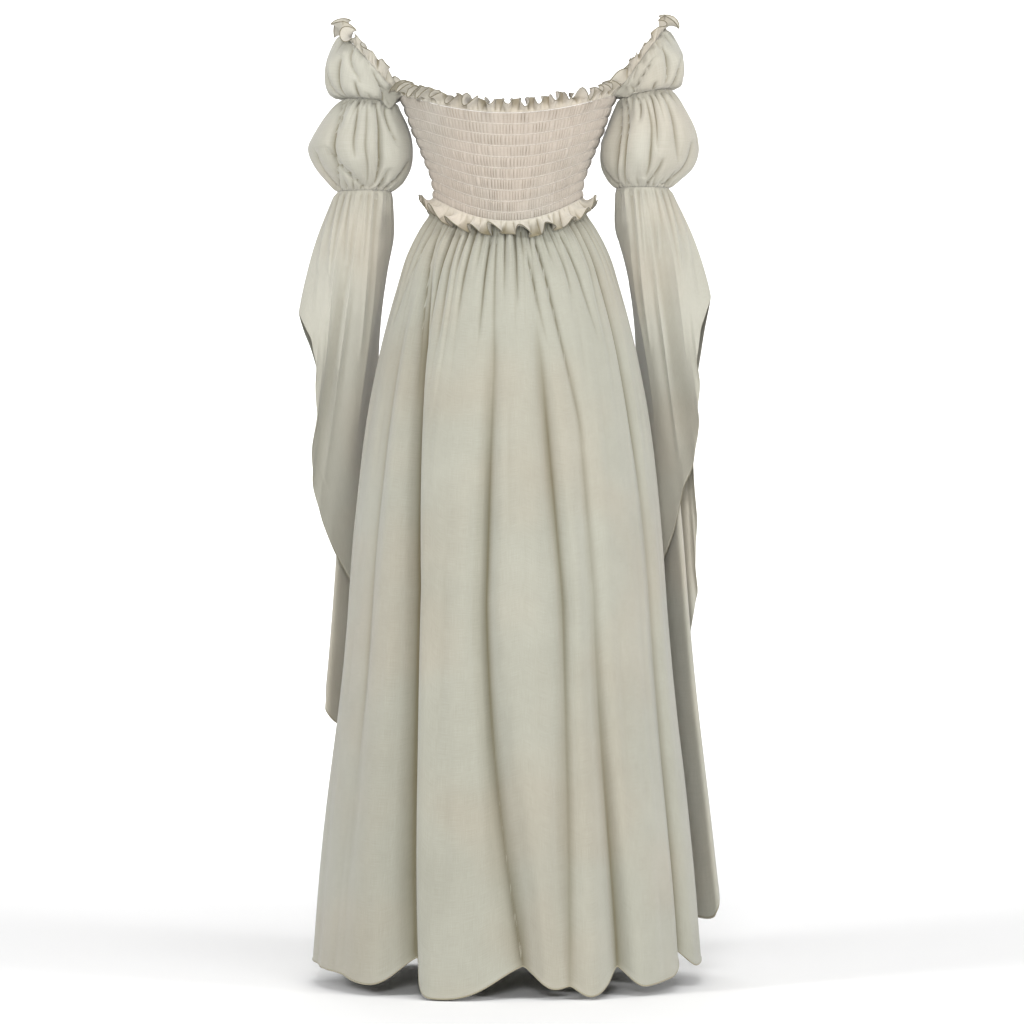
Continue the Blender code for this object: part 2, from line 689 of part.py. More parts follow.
def build_dress():
    """Make every piece of the dress in its own collection."""
    for old in list(bpy.data.objects):
        bpy.data.objects.remove(old, do_unlink=True)
    collection = bpy.data.collections.new("court_dress")
    bpy.context.scene.collection.children.link(collection)
    bodice_cloth = cloth_material("shirred_bodice_cloth", (0.60, 0.545, 0.46))
    ruffle_cloth = cloth_material("ruffle_cloth", (0.62, 0.57, 0.48))
    sleeve_cloth = cloth_material("sleeve_cloth", (0.58, 0.56, 0.47))
    skirt_cloth = cloth_material("skirt_cloth", (0.53, 0.52, 0.43))
    for half in ("back", "front"):
        bodice_half(half, bodice_cloth, collection)
        neck_ruffle(half, ruffle_cloth, collection)
        waist_ruffle(half, ruffle_cloth, collection)
        skirt_half(half, skirt_cloth, collection)
    for side in SIDES:
        upper_puff(side, sleeve_cloth, collection)
        sleeve_ruffle(side, ruffle_cloth, collection)
        lower_puff(side, sleeve_cloth, collection)
        bell_sleeve(side, sleeve_cloth, collection)


build_dress()
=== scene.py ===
"""Court dress: the fine cloth of each piece, its materials, and the studio round it.

Shapes are worked out in millimetres above the lowest hem line, as for the solids, and are moved
when a mesh is made, so that the origin is the middle of the chest. +Z is up, the back faces -Y
and the wearer's right is +X. Each piece of cloth is one thin wall: a fine grid of outer points,
a coarser grid a cloth's thickness inside it, and the rims between them.
"""

import bpy
import numpy as np
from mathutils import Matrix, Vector


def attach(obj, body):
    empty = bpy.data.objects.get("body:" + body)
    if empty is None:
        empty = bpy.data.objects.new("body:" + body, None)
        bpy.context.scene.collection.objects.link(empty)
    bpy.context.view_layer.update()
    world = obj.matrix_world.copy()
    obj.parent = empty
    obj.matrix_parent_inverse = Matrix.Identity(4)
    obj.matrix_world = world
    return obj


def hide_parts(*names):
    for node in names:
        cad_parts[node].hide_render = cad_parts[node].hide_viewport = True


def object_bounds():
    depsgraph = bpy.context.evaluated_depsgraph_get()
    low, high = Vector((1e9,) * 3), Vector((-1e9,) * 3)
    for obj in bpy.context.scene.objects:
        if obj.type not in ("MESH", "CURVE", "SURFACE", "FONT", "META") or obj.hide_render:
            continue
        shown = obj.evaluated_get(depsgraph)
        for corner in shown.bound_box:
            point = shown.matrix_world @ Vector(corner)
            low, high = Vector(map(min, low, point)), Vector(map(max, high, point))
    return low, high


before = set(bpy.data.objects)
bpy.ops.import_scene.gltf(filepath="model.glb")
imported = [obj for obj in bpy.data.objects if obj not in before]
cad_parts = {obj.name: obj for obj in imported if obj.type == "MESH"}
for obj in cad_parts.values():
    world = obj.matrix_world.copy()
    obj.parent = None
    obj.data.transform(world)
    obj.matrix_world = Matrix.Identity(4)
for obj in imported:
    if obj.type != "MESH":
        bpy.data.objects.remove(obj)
cad_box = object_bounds()

MM = 0.001
CHEST_HEIGHT = 1260.0          # from the lowest hem line up to the origin
SEAM_GAP = 0.3

# Cloth walls
CLOTH = 0.8                    # thickness of every wall
HEM_ROLL = 0.9                 # how far a rolled hem stands proud of its cloth
HEM_WIDTH = 2.6
BELL_HEM_SHARE = 0.005         # a bell's hem, as a share of its length
RUFFLE_ROLL = 0.35             # how far a ruffle's edge swells, in thicknesses of its cloth
ROLL_END = 0.85                # share of a hem's width at which its roll stops short of the edge
INNER_STEP = 5                 # outer rows for each row of the inner grid
HALF_STARTS = {"back": -90.0, "front": 90.0}    # angle of a half's first column

# Seeded unevenness: cells each way of its lattice, and the first seed of each piece
LATTICE = 97
SKIRT_SEED, UPPER_PUFF_SEED, LOWER_PUFF_SEED, BELL_SEED = 11, 31, 41, 51
BODICE_SEEDS = {"back": 21, "front": 26}
NECK_SEEDS = {"back": 61, "front": 66}
WAIST_SEEDS = {"back": 71, "front": 76}
SLEEVE_SEEDS = {"left": 81, "right": 86}
BETWEEN_ROWS = 0.5             # a line half way between two rows of the lattice

# Gathers and creases of any piece. A gather goes from about -0.8 at its creases to 0.6 on its ridge,
# times the depth that its piece gives it.
GATHER_WANDER = 1.3            # radians by which a gather strays from its place
GATHER_WANDER_CELLS = 0.55     # cells of that straying to a gather
GATHER_UNEVEN = 0.45           # how much the heights of gathers differ
RIDGE_ROUNDING = 0.03          # keeps the floor between two ridges from being a true edge
RIDGE_LEVEL = 0.65             # taken off a ridge, so that gathers lie in and out of the plain form
RIDGE_GAIN = 1.7               # brings a ridge to about the height that its piece states
CREASE_FLOOR = 0.3             # how round the floor of a crease is, in spreads
CRUMPLE_WIDTH = 0.14           # of the unevenness whose noughts the crooked creases follow
CRUMPLE_LEVEL = 0.35
CRUMPLE_UNEVEN = 0.45
# Reaches over which the inward bend is measured; that bend masks the painted shade in creases
CREASE_REACHES = ((2, 0.5), (6, 0.7), (16, 0.8))    # columns to each side, and weight
CREASE_LEAST_SPAN = 2.5        # least half line over which a bend is measured

# Cotton. Scales are noise cells to a metre, reliefs are millimetres, and a tone is the weight of one
# pattern in the sum that chooses between a cloth's light and shade.
THREAD = 0.6                   # pitch of the weave
SLUB_ACROSS, SLUB_ALONG = 1100.0, 38.0
CRINKLE_ACROSS, CRINKLE_ALONG = 55.0, 16.0
CLOUD_SCALE, WARM_SCALE = 7.0, 4.5
SLUB_TONE, CLOUD_TONE, WEAVE_TONE = 0.32, 0.42, 0.05
SHADE_TONE, LIGHT_TONE = 0.38, 0.68     # sums that get the darker and the lighter colour
WARM_FROM, WARM_TO = 0.42, 0.62
WEAVE_RELIEF, SLUB_RELIEF, CRINKLE_RELIEF = 0.035, 0.09, 0.35
ELASTIC_LINE, ELASTIC_CORE = 1.3, 0.3   # half width of an elastic's light line; share fully light
ELASTIC_RELIEF, ELASTIC_LIGHT, ELASTIC_GAIN = 0.5, 0.48, 1.3
PLAIN_ROUGHNESS, SLUB_ROUGHNESS = 0.80, 0.06
SHEEN, SHEEN_ROUGHNESS = 0.3, 0.6
SPECULAR = 0.25
WARM_TINT = (1.02, 0.975, 0.95, 1.0)    # faint pinkish clouds in the grey-cream cotton
PAINTED_CREASE_SHADE = (0.42, 0.38, 0.27, 1.0)   # painted shade and bounced warm light: cloth deep in a crease is painted darker and yellower
COLOURS = {                    # light and shade of each cloth
    "bodice_cotton": ((0.455, 0.415, 0.365), (0.37, 0.335, 0.285)),
    "ruffle_cotton": ((0.54, 0.51, 0.44), (0.44, 0.41, 0.34)),
    "sleeve_cotton": ((0.43, 0.42, 0.36), (0.345, 0.335, 0.28)),
    "skirt_cotton": ((0.375, 0.37, 0.31), (0.30, 0.295, 0.24)),
}
HEM_COLOUR = (0.27, 0.245, 0.17)
RUFFLE_EDGE_COLOUR = (0.17, 0.15, 0.095)
STITCH_COLOUR = (0.66, 0.62, 0.55)
PLY_SCALE, PLY_SHADE, PLY_RELIEF, STITCH_ROUGHNESS = 900.0, 0.8, 0.15, 0.6

# Flat cuts: width by length, and area where a piece isn't a rectangle, in metres
SKIRT_CUT, SKIRT_AREA = (1.0, 1.14), 1.0
BODICE_CUT = (0.55, 0.18)
NECK_RUFFLE_CUT = (0.70, 0.026)
WAIST_RUFFLE_CUT = (0.48, 0.032)
SLEEVE_RUFFLE_CUT = (0.36, 0.025)
UPPER_PUFF_CUT = (0.36, 0.08)
LOWER_PUFF_CUT = (0.46, 0.165)
BELL_CUTS = {"left": ((0.62, 0.86), 0.27), "right": ((0.68, 1.10), 0.37)}

# Waist seam and bodice
WAIST_MIDDLE = 1146.0
WAIST_SIDE_RISE = 40.0
BACK_NECK = 1305.0
FRONT_NECK = 1288.0
UNDERARM = 1340.0
SHIRR_BANDS = 10               # bands of cloth between eleven elastic rows
SHIRR_PUFF = 2.6               # how far a band stands out between its elastics
SHIRR_SWELL = 0.6              # power of its sine: lower is fuller
SHIRR_CREST = 0.9              # share of a band's height that its puckers take
PUCKERS = 86                   # across a half
PUCKER_COLUMNS = 5             # columns of a pucker
PUCKER_ROWS = 7                # rows of a band
PUCKER_HOLD = 0.8              # share of a band over which a pucker keeps its place
PUCKER_WANDER, WANDER_PUCKERS = 1.5, 1.7    # radians a pucker strays, and puckers to a cell of it
PUCKER_HEIGHT = 0.9            # mean height of the puckers, as a share of a band's
PUCKER_UNEVEN, UNEVEN_PUCKERS = 0.5, 1.2    # how much heights differ, and puckers to a cell of it
UNEVEN_START = 31              # lattice row at which the heights' unevenness starts
PUCKER_ROUNDING, PUCKER_LEVEL = 0.02, 0.6   # as for a gather's ridge
ELASTIC_PUCKER = 0.7           # depth of the puckers on an elastic row
STITCH_LENGTH = 4.2
STITCH_THICK, STITCH_TAPER = 0.8, 0.35      # at its middle, and the share of that at its ends
STITCH_STAND = 0.1             # gap between a stitch's middle line and the cloth under it
STITCH_STEP = 0.2              # degrees ahead at which a stitch's direction is taken

# Skirt
SKIRT_COLUMNS = 380            # of each half
SKIRT_ROWS, SKIRT_ROW_POWER = 150, 1.25     # rows lie closer together near the waist
WAIST_GATHERS = 54             # all round the waist
WAIST_GATHER_DEPTH = 4.4
FINE_GATHERS = 118
FINE_GATHER_DEPTH = 2.1
FINE_GATHER_FADE = 34.0
GATHER_SHORT, GATHER_LONG = 22.0, 170.0     # drops over which the gathers fade
GATHER_START = 9.0             # drop over which the gathers come in below the seam
GATHER_LEAN, GATHER_LEAN_START = 0.004, 100.0   # share of the waist by which gathers hang askew
LONG_GATHER_ONSET = 12.0       # a long gather comes in over one part in so many of its length
FOLD_GROWTH = 320.0            # drop over which a large fold reaches its depth
FOLD_TURN_HIGH, FOLD_TURN_LOW = 0.8, 1.5    # powers by which folds wander above and below the middle
HEM_MIDDLE = 30.0
HEM_SIDE_RISE = 36.0
VALLEY_ROUND = 0.88            # share of a fold's depth that is rounded; the rest is a sharp floor
VALLEY_FLOOR = 2.2             # how narrow that floor is
VALLEY_STEEP, VALLEY_GENTLE = 1.9, 0.95    # one side of a valley hangs over it, the other slopes
HEM_LIFT = 1.3                 # rise of the hem for each unit that a fold goes in
SKIRT_SWAY, SKIRT_FINE_SWAY = 2.4, 0.96     # soft unevenness of the hanging cloth
SKIRT_SWAY_START = 300.0

# Ruffles
RUFFLE_ROWS = 15
RUFFLE_HEM = 1.3
WAVE_COLUMNS, WIDE_WAVE_COLUMNS = 18, 27    # of a wave at the neck, and at waist and sleeves
RUFFLE_MOST_LEAN = 104.0       # degrees
SECOND_WAVE, SECOND_PHASE = 0.45, 1.1   # a wave half as long, on the first
RUFFLE_SLIDE, SLIDE_POWER = 0.17, 1.4   # how far waves fold over sideways, in wave lengths
PINCHES = 3                    # small gathers at the foot of each wave
RUFFLE_PINCH = 2.0             # their depth
PINCH_ONSET, PINCH_FADE = 6.0, 0.7      # one over the height where they are full; share that fades
# What strays along a ruffle: by how much (radians, shares or degrees), cells of that straying to a
# wave, and the seed's place after the ruffle's first.
RUFFLE_STRAYS = {
    "place": (3.0, 0.6, 0),
    "swing": (0.8, 0.8, 1),
    "second wave": (1.5, 1.0, 4),
    "lean": (14.0, 0.3, 5),
    "length": (0.26, 1.1, 3),
}
NECK_RUFFLE = 22.0
NECK_WAVES = {"back": 16, "front": 14}
NECK_LEAN, NECK_SWING = 12.0, 38.0     # degrees off upright: at rest, and how far a wave goes
NECK_RUFFLE_END = 17.0         # degrees left free at each side, where the sleeve starts
NECK_RUFFLE_INSET = 0.1        # its foot lies this far inside the bodice's plain surface
WAIST_RUFFLE = 27.0
WAIST_WAVES = 11               # on each half
WAIST_LEAN, WAIST_SWING = 26.0, 32.0
WAIST_SIDE_LEAN = 64.0         # added at the side seams, where the heading stands out
WAIST_SIDE_TRIM = 0.32         # how much shorter it looks there, bunched
WAIST_SIDE_POWER = 9           # of a sine: higher makes the bunches at the side seams narrower
WAIST_LEAST_LEAN = 12.0        # keeps it off the skirt
WAIST_RUFFLE_LIFT = 4.0
SLEEVE_RUFFLE = 21.0
SLEEVE_WAVES = 9
SLEEVE_LEAN, SLEEVE_SWING = 16.0, 38.0
SLEEVE_RUFFLE_SWEEP = 148.0    # degrees each way from the outside of the arm

# Sleeves
PUFF_COLUMNS = 260
UPPER_ROWS = 40
LOWER_ROWS = 60
UNDERARM_SEAM_ENDS = (50.0, 26.0)   # degrees from the inside of the arm: starts, is fully sewn
PUFF_DEPTH_SHARE = 0.94
PUFF_GATHERS = 22
PUFF_GATHER_DEPTH = 3.4
PUFF_FINE_GATHERS = 41
PUFF_FINE_DEPTH = 1.9
PUFF_GATHER_REACH = 0.17       # share of a puff over which its gathers die away
PUFF_UNEVEN_REACH = 0.6
PUFF_FINE_FADE = 8.0
PUFF_GATHER_ONSET = 24.0       # gathers come in over one part in so many of a puff's length
PUFF_TWIST = 0.01              # share of the way round by which they slant
PUFF_DENT, PUFF_FINE_DENT = 4.0, 2.0    # soft dents in the full part of a puff
DENTS_ROUND, DENTS_DOWN = 11, 2.4
FINE_DENTS_ROUND, FINE_DENTS_DOWN = 23, 4.0
PUFF_CRUMPLE = 1.2             # depth of the crooked creases over them
CRUMPLES_ROUND, CRUMPLES_DOWN, CRUMPLE_TWIST = 9, 1.7, 1.5
PUFF_CREASE_GAIN = 1.9         # the puffs' creases are this much deeper than their tables say
UPPER_DROOP_SHARE = 0.45       # an upper puff droops over this share of its height
UPPER_FULLNESS = 0.8           # power of its sines: lower is fuller
BELL_COLUMNS = 320
BELL_ROWS = 130
BELL_GATHERS = 17
BELL_FINE_GATHERS = 41
BELL_GATHER_DEPTH, BELL_FINE_DEPTH = 3.0, 0.8
BELL_GATHER_FADE, BELL_FINE_FADE = 55.0, 35.0
BELL_GATHER_START = 8.0        # drop over which the gathers come in
BELL_FOLD_DEPTH = 5.0
BELL_FOLD_SHARE = 0.010        # and no more than this share of the girth, as columns lie there
BELL_FOLD_WAVES = ((5, 0.9, 1.0), (8, 2.1, 0.5))    # waves round the arm, phase and size
BELL_FOLD_TWIST = 2.0          # radians by which the finer waves turn down the bell
BELL_FOLD_START = 170.0
BELL_FLARE = 22.0              # how far a bell's head springs out from the arm
BELL_FLARE_DROP = 300.0
BELL_HANG = 0.7                # keeps the inner back of a bell plumb before it turns forwards
BELL_HANG_MIDDLE, BELL_HANG_SPREAD = 0.33, 0.08
BELL_CLEAR = 13.0              # least gap between a bell and the skirt's plain sections
BELL_LOFT = 52.0               # added to it on the side that faces away
BELL_INNERMOST = 0.38          # share of the way round that faces the skirt
BELL_PUSH = 22.0               # how sharp the bend is where the cloth bears on the skirt
BELL_PUSH_DROP = 60.0          # drop below the waist over which that starts
BELL_SWAY, BELL_SWAY_START = 1.6, 120.0
BELL_SIDE_POWER = 0.75         # how quickly a bell's detail comes in away from the skirt
BELL_CURLS = 19                # waves along a bell's hem
BELL_CURL_DEPTH = 4.0
BELL_CURL_REACH = 0.10         # share of a bell's length over which they die away

# Picture. Places and sizes in metres; a light has a place, an aim, a side's length and watts.
LIGHTS = {
    "key_light": ((-3.9, -2.6, 1.4), (0, 0, -0.35), 0.9, 94),
    "side_light": ((3.9, -2.4, 0.2), (0, 0, -0.7), 0.9, 88),
    "front_light": ((-0.2, -5.9, 0.7), (0, 0, -0.5), 1.0, 150),
    "top_light": ((0.4, -1.8, 2.6), (0, -0.2, -1.0), 2.2, 55),
    "wall_light": ((0.0, 4.6, 4.2), (0, 8.0, 0.2), 3.0, 420),
}
SURROUND_STRENGTH = 0.31
FLOOR_DROP = 0.003             # below the lowest point of the dress
FLOOR_REACH, FLOOR_HALF_WIDTH = 9.0, 11.0
WALL_START, WALL_BEND, WALL_HEIGHT = 6.4, 1.6, 6.0
WALL_BEND_STEPS = 16
PAPER_GREY, PAPER_ROUGHNESS = 0.9, 0.95
SENSOR_WIDTH = 36.0            # millimetres, as the camera states it
CAMERA_DISTANCE = 5.75
CAMERA_HEIGHT = -0.534         # level view, from the middle of the dress's height
CAMERA_SIDE = 0.006
FRAME_WIDTH = 1.5135           # what the view spans at the dress's middle


def table(columns, *rows):
    """Named columns of numbers from rows, one row for each section, fold or point."""
    values = np.array(rows, float)
    return {name: values[:, number] for number, name in enumerate(columns.split())}


SKIRT_SECTIONS = table(
    "drop half_width back_depth front_depth",
    (0, 108, 89, 88),
    (18, 113, 94, 91),
    (40, 128, 106, 98),
    (75, 147, 120, 107),
    (130, 165, 136, 118),
    (190, 181, 150, 130),
    (285, 200, 168, 147),
    (445, 222, 192, 172),
    (700, 245, 220, 205),
    (970, 275, 250, 235),
    (1190, 292, 268, 252),
)

# Valleys of the skirt. Angles are degrees from the middle of the back towards +X at the top, half
# way down and at the hem; a fold starts at a drop; depths and spreads are half way and at the hem.
SKIRT_FOLDS = table(
    "angle_top angle_half angle_hem start depth_half depth_hem spread_half spread_hem",
    (-60, -60, -57, 60, 9, 3, 5, 6),
    (-52, -37, -31, 50, 31, 38, 4.2, 5),
    (-5, -8, 5, 150, 19, 38, 4.5, 9),
    (11, 21, 19, 130, 15, 14, 4, 4.5),
    (27, 33, 37, 170, 7, 25, 3.5, 4.5),
    (62, 65, 68, 110, 9, 20, 4, 4.5),
    (100, 103, 108, 150, 12, 24, 4.5, 6),
    (130, 124, 127, 80, 24, 30, 4.5, 6.5),
    (150, 155, 157, 200, 9, 20, 4.5, 6),
    (176, 172, 178, 100, 20, 34, 4.5, 8),
    (-160, -152, -155, 140, 13, 24, 4.5, 6),
    (-128, -132, -125, 90, 25, 32, 4.5, 6.5),
    (-104, -100, -106, 160, 10, 22, 4.5, 6),
)

# Gathers that run on below the waist. Angles in degrees at the top and the low end, drops from the
# waist, depth and spread in degrees. The first twenty-three are the back's.
LONG_GATHERS = table(
    "angle_top angle_low top low depth spread",
    (-80, -81, 4, 230, 4.5, 2.0),
    (-68, -71, 4, 110, 4.0, 1.7),
    (-59, -76, 20, 210, 4.5, 1.7),
    (-56, -45, 4, 330, 9.0, 1.4),
    (-49, -50, 4, 70, 4.0, 1.2),
    (-42, -42, 4, 350, 8.5, 1.4),
    (-37, -33, 4, 220, 5.0, 1.5),
    (-30, -31, 4, 90, 4.5, 1.2),
    (-24, -26, 4, 150, 5.0, 1.3),
    (-18, -18, 4, 80, 4.0, 1.1),
    (-12.5, -14, 4, 190, 8.0, 1.2),
    (-8, -6, 4, 240, 5.0, 1.5),
    (-2, -2, 4, 110, 4.5, 1.1),
    (6, 5, 4, 130, 7.5, 1.1),
    (11, 20, 30, 200, 6.5, 1.4),
    (18, 33, 4, 340, 7.5, 1.4),
    (25, 28, 4, 80, 4.0, 1.1),
    (31, 36, 4, 130, 5.0, 1.2),
    (38, 47, 4, 200, 6.0, 1.3),
    (48, 50, 4, 90, 4.5, 1.3),
    (57, 66, 4, 440, 7.0, 1.6),
    (70, 76, 4, 160, 4.5, 1.8),
    (82, 84, 4, 220, 4.5, 2.0),
    (98, 101, 4, 260, 5.0, 2.1),
    (108, 112, 4, 140, 4.5, 1.8),
    (119, 123, 4, 320, 6.0, 1.9),
    (128, 131, 4, 150, 4.5, 1.5),
    (137, 143, 4, 290, 6.0, 1.6),
    (146, 150, 4, 130, 4.5, 1.4),
    (154, 158, 4, 340, 6.5, 1.7),
    (163, 165, 4, 150, 4.5, 1.4),
    (171, 174, 4, 250, 5.0, 1.6),
    (-177, -176, 4, 130, 4.5, 1.4),
    (-169, -165, 4, 330, 6.0, 1.7),
    (-160, -157, 4, 150, 4.5, 1.5),
    (-152, -147, 4, 280, 6.0, 1.7),
    (-143, -141, 4, 140, 4.5, 1.5),
    (-134, -130, 4, 350, 6.0, 1.8),
    (-124, -122, 4, 150, 4.5, 1.6),
    (-114, -110, 4, 300, 6.0, 2.0),
    (-102, -99, 4, 160, 4.5, 2.0),
)

BODICE_SECTIONS = table(
    "share half_width back_depth front_depth",
    (0.00, 108, 89, 88),
    (0.18, 111, 91, 94),
    (0.40, 123, 96, 107),
    (0.68, 141, 103, 120),
    (0.90, 153, 106, 120),
    (1.00, 160, 107, 116),
)

SIDES = {"left": -1.0, "right": 1.0}
UPPER_PUFFS = {
    "left": dict(low_out=164, low_height=1342, high_out=244, high_height=1431,
                 puff_out=30, depth=50, droop=9),
    "right": dict(low_out=164, low_height=1346, high_out=232, high_height=1439,
                  puff_out=27, depth=48, droop=9),
}
LOWER_PUFFS = {
    "left": table(
        "height tilt out half_width",
        (1333, 3, 204.5, 38),
        (1317, 3, 210, 51),
        (1290, 2, 214, 66),
        (1262, 1, 217, 74),
        (1235, 0, 213, 70),
        (1213, 0, 210, 56),
        (1199, 0, 212, 40),
    ),
    "right": table(
        "height tilt out half_width",
        (1344, 7, 203, 37),
        (1325, 5, 208, 49),
        (1294, 3, 211, 63),
        (1262, 0, 208, 70),
        (1235, -1, 204, 67),
        (1216, -1, 199, 53),
        (1204, 0, 199, 39),
    ),
}

# Creases in the puffs and bells. Shares are places round the arm (0 outside, 0.25 back, 0.5 inside,
# 0.75 front) at a crease's start, middle and end, which top and low give in shares of the length.
# Depth is in millimetres; spread is a share of the way round.
CREASE_COLUMNS = "start middle end top low depth spread"
UPPER_CREASES = {
    "left": table(
        CREASE_COLUMNS,
        (0.145, 0.12, 0.13, 0.00, 0.75, 5.5, 0.013),
        (0.21, 0.20, 0.19, 0.00, 0.40, 5.5, 0.010),
        (0.22, 0.17, 0.16, 0.35, 1.00, 3.5, 0.016),
        (0.30, 0.33, 0.30, 0.00, 0.55, 5.5, 0.012),
        (0.10, 0.07, 0.05, 0.00, 0.60, 4.5, 0.011),
        (0.38, 0.30, 0.28, 0.30, 0.85, 4.0, 0.016),
        (0.26, 0.26, 0.24, 0.00, 0.25, 4.0, 0.008),
        (0.62, 0.65, 0.64, 0.00, 0.80, 4.0, 0.013),
        (0.72, 0.70, 0.74, 0.00, 0.90, 5.0, 0.012),
        (0.80, 0.83, 0.80, 0.10, 1.00, 4.0, 0.013),
        (0.90, 0.88, 0.92, 0.00, 0.70, 5.0, 0.012),
        (0.97, 0.99, 0.96, 0.20, 0.90, 4.0, 0.013),
    ),
    "right": table(
        CREASE_COLUMNS,
        (0.16, 0.14, 0.15, 0.20, 0.85, 5.0, 0.013),
        (0.26, 0.30, 0.34, 0.00, 0.45, 6.0, 0.013),
        (0.36, 0.27, 0.20, 0.12, 0.75, 6.0, 0.014),
        (0.05, 0.03, 0.04, 0.00, 0.55, 4.5, 0.011),
        (0.12, 0.10, 0.06, 0.00, 0.60, 4.5, 0.011),
        (0.20, 0.21, 0.20, 0.00, 0.30, 4.5, 0.008),
        (0.31, 0.30, 0.27, 0.55, 1.00, 2.4, 0.007),
        (0.35, 0.34, 0.31, 0.50, 1.00, 2.4, 0.007),
        (0.39, 0.38, 0.35, 0.50, 1.00, 2.4, 0.007),
        (0.63, 0.61, 0.64, 0.00, 0.70, 4.5, 0.012),
        (0.71, 0.74, 0.72, 0.10, 1.00, 5.0, 0.013),
        (0.81, 0.79, 0.82, 0.00, 0.75, 4.5, 0.012),
        (0.89, 0.91, 0.88, 0.15, 0.95, 4.5, 0.013),
        (0.96, 0.97, 0.99, 0.00, 0.60, 4.5, 0.011),
    ),
}
LOWER_CREASES = {
    "left": table(
        CREASE_COLUMNS,
        (0.06, 0.155, 0.06, 0.00, 1.00, 5.5, 0.012),
        (0.13, 0.14, 0.17, 0.00, 0.35, 4.5, 0.009),
        (0.20, 0.225, 0.23, 0.00, 0.62, 4.5, 0.010),
        (0.25, 0.27, 0.25, 0.00, 1.00, 3.5, 0.010),
        (0.30, 0.32, 0.29, 0.02, 0.95, 7.0, 0.013),
        (0.12, 0.19, 0.27, 0.50, 1.00, 6.0, 0.012),
        (0.38, 0.36, 0.40, 0.00, 0.50, 4.0, 0.011),
        (0.46, 0.42, 0.36, 0.60, 1.00, 6.5, 0.013),
        (0.08, 0.05, 0.10, 0.50, 1.00, 5.5, 0.012),
        (0.35, 0.34, 0.33, 0.70, 1.00, 5.0, 0.009),
        (0.56, 0.58, 0.55, 0.00, 0.90, 5.0, 0.012),
        (0.64, 0.62, 0.66, 0.30, 1.00, 5.5, 0.012),
        (0.71, 0.73, 0.70, 0.00, 0.60, 5.0, 0.011),
        (0.78, 0.76, 0.79, 0.10, 1.00, 6.0, 0.012),
        (0.85, 0.87, 0.86, 0.00, 0.55, 4.5, 0.010),
        (0.93, 0.91, 0.95, 0.40, 1.00, 5.0, 0.012),
        (0.98, 0.97, 0.99, 0.00, 0.45, 4.5, 0.010),
    ),
    "right": table(
        CREASE_COLUMNS,
        (0.47, 0.385, 0.43, 0.00, 1.00, 7.0, 0.013),
        (0.40, 0.345, 0.36, 0.00, 1.00, 5.0, 0.010),
        (0.33, 0.30, 0.30, 0.00, 0.32, 4.5, 0.009),
        (0.275, 0.25, 0.24, 0.00, 0.85, 5.0, 0.012),
        (0.22, 0.23, 0.22, 0.00, 0.55, 4.5, 0.009),
        (0.15, 0.155, 0.13, 0.15, 0.65, 4.0, 0.015),
        (0.08, 0.07, 0.11, 0.45, 1.00, 6.0, 0.012),
        (0.20, 0.21, 0.235, 0.60, 1.00, 4.5, 0.010),
        (0.12, 0.11, 0.17, 0.70, 1.00, 5.0, 0.010),
        (0.05, 0.04, 0.02, 0.00, 0.50, 4.5, 0.010),
        (0.50, 0.47, 0.42, 0.45, 1.00, 5.5, 0.012),
        (0.57, 0.59, 0.58, 0.00, 0.60, 4.5, 0.011),
        (0.65, 0.66, 0.63, 0.10, 1.00, 5.5, 0.012),
        (0.72, 0.71, 0.74, 0.00, 0.50, 4.5, 0.010),
        (0.80, 0.78, 0.81, 0.25, 1.00, 6.0, 0.012),
        (0.88, 0.90, 0.87, 0.00, 0.85, 5.0, 0.012),
        (0.95, 0.94, 0.97, 0.50, 1.00, 4.5, 0.011),
    ),
}
BELL_CREASES = table(
    CREASE_COLUMNS,
    (0.03, 0.04, 0.04, 0.00, 0.55, 3.0, 0.010),
    (0.10, 0.11, 0.12, 0.02, 0.40, 4.0, 0.009),
    (0.155, 0.155, 0.165, 0.00, 0.75, 3.0, 0.009),
    (0.19, 0.20, 0.22, 0.00, 0.25, 4.5, 0.007),
    (0.245, 0.245, 0.245, 0.00, 0.90, 6.0, 0.010),
    (0.275, 0.28, 0.29, 0.00, 0.22, 4.0, 0.007),
    (0.31, 0.315, 0.325, 0.02, 0.45, 4.0, 0.008),
    (0.355, 0.355, 0.36, 0.00, 0.60, 3.0, 0.009),
    (0.72, 0.73, 0.74, 0.00, 0.80, 4.5, 0.012),
    (0.79, 0.78, 0.77, 0.03, 0.50, 4.0, 0.012),
    (0.86, 0.865, 0.87, 0.00, 0.70, 4.5, 0.011),
    (0.93, 0.925, 0.92, 0.02, 0.60, 4.0, 0.011),
)
PUFF_LOBES = {"left": 13.0, "right": 3.0}      # how far an upper puff hangs over its elastic
LOBE_SHARE, LOBE_SPREAD = 0.37, 0.035           # its place round the arm, and its spread

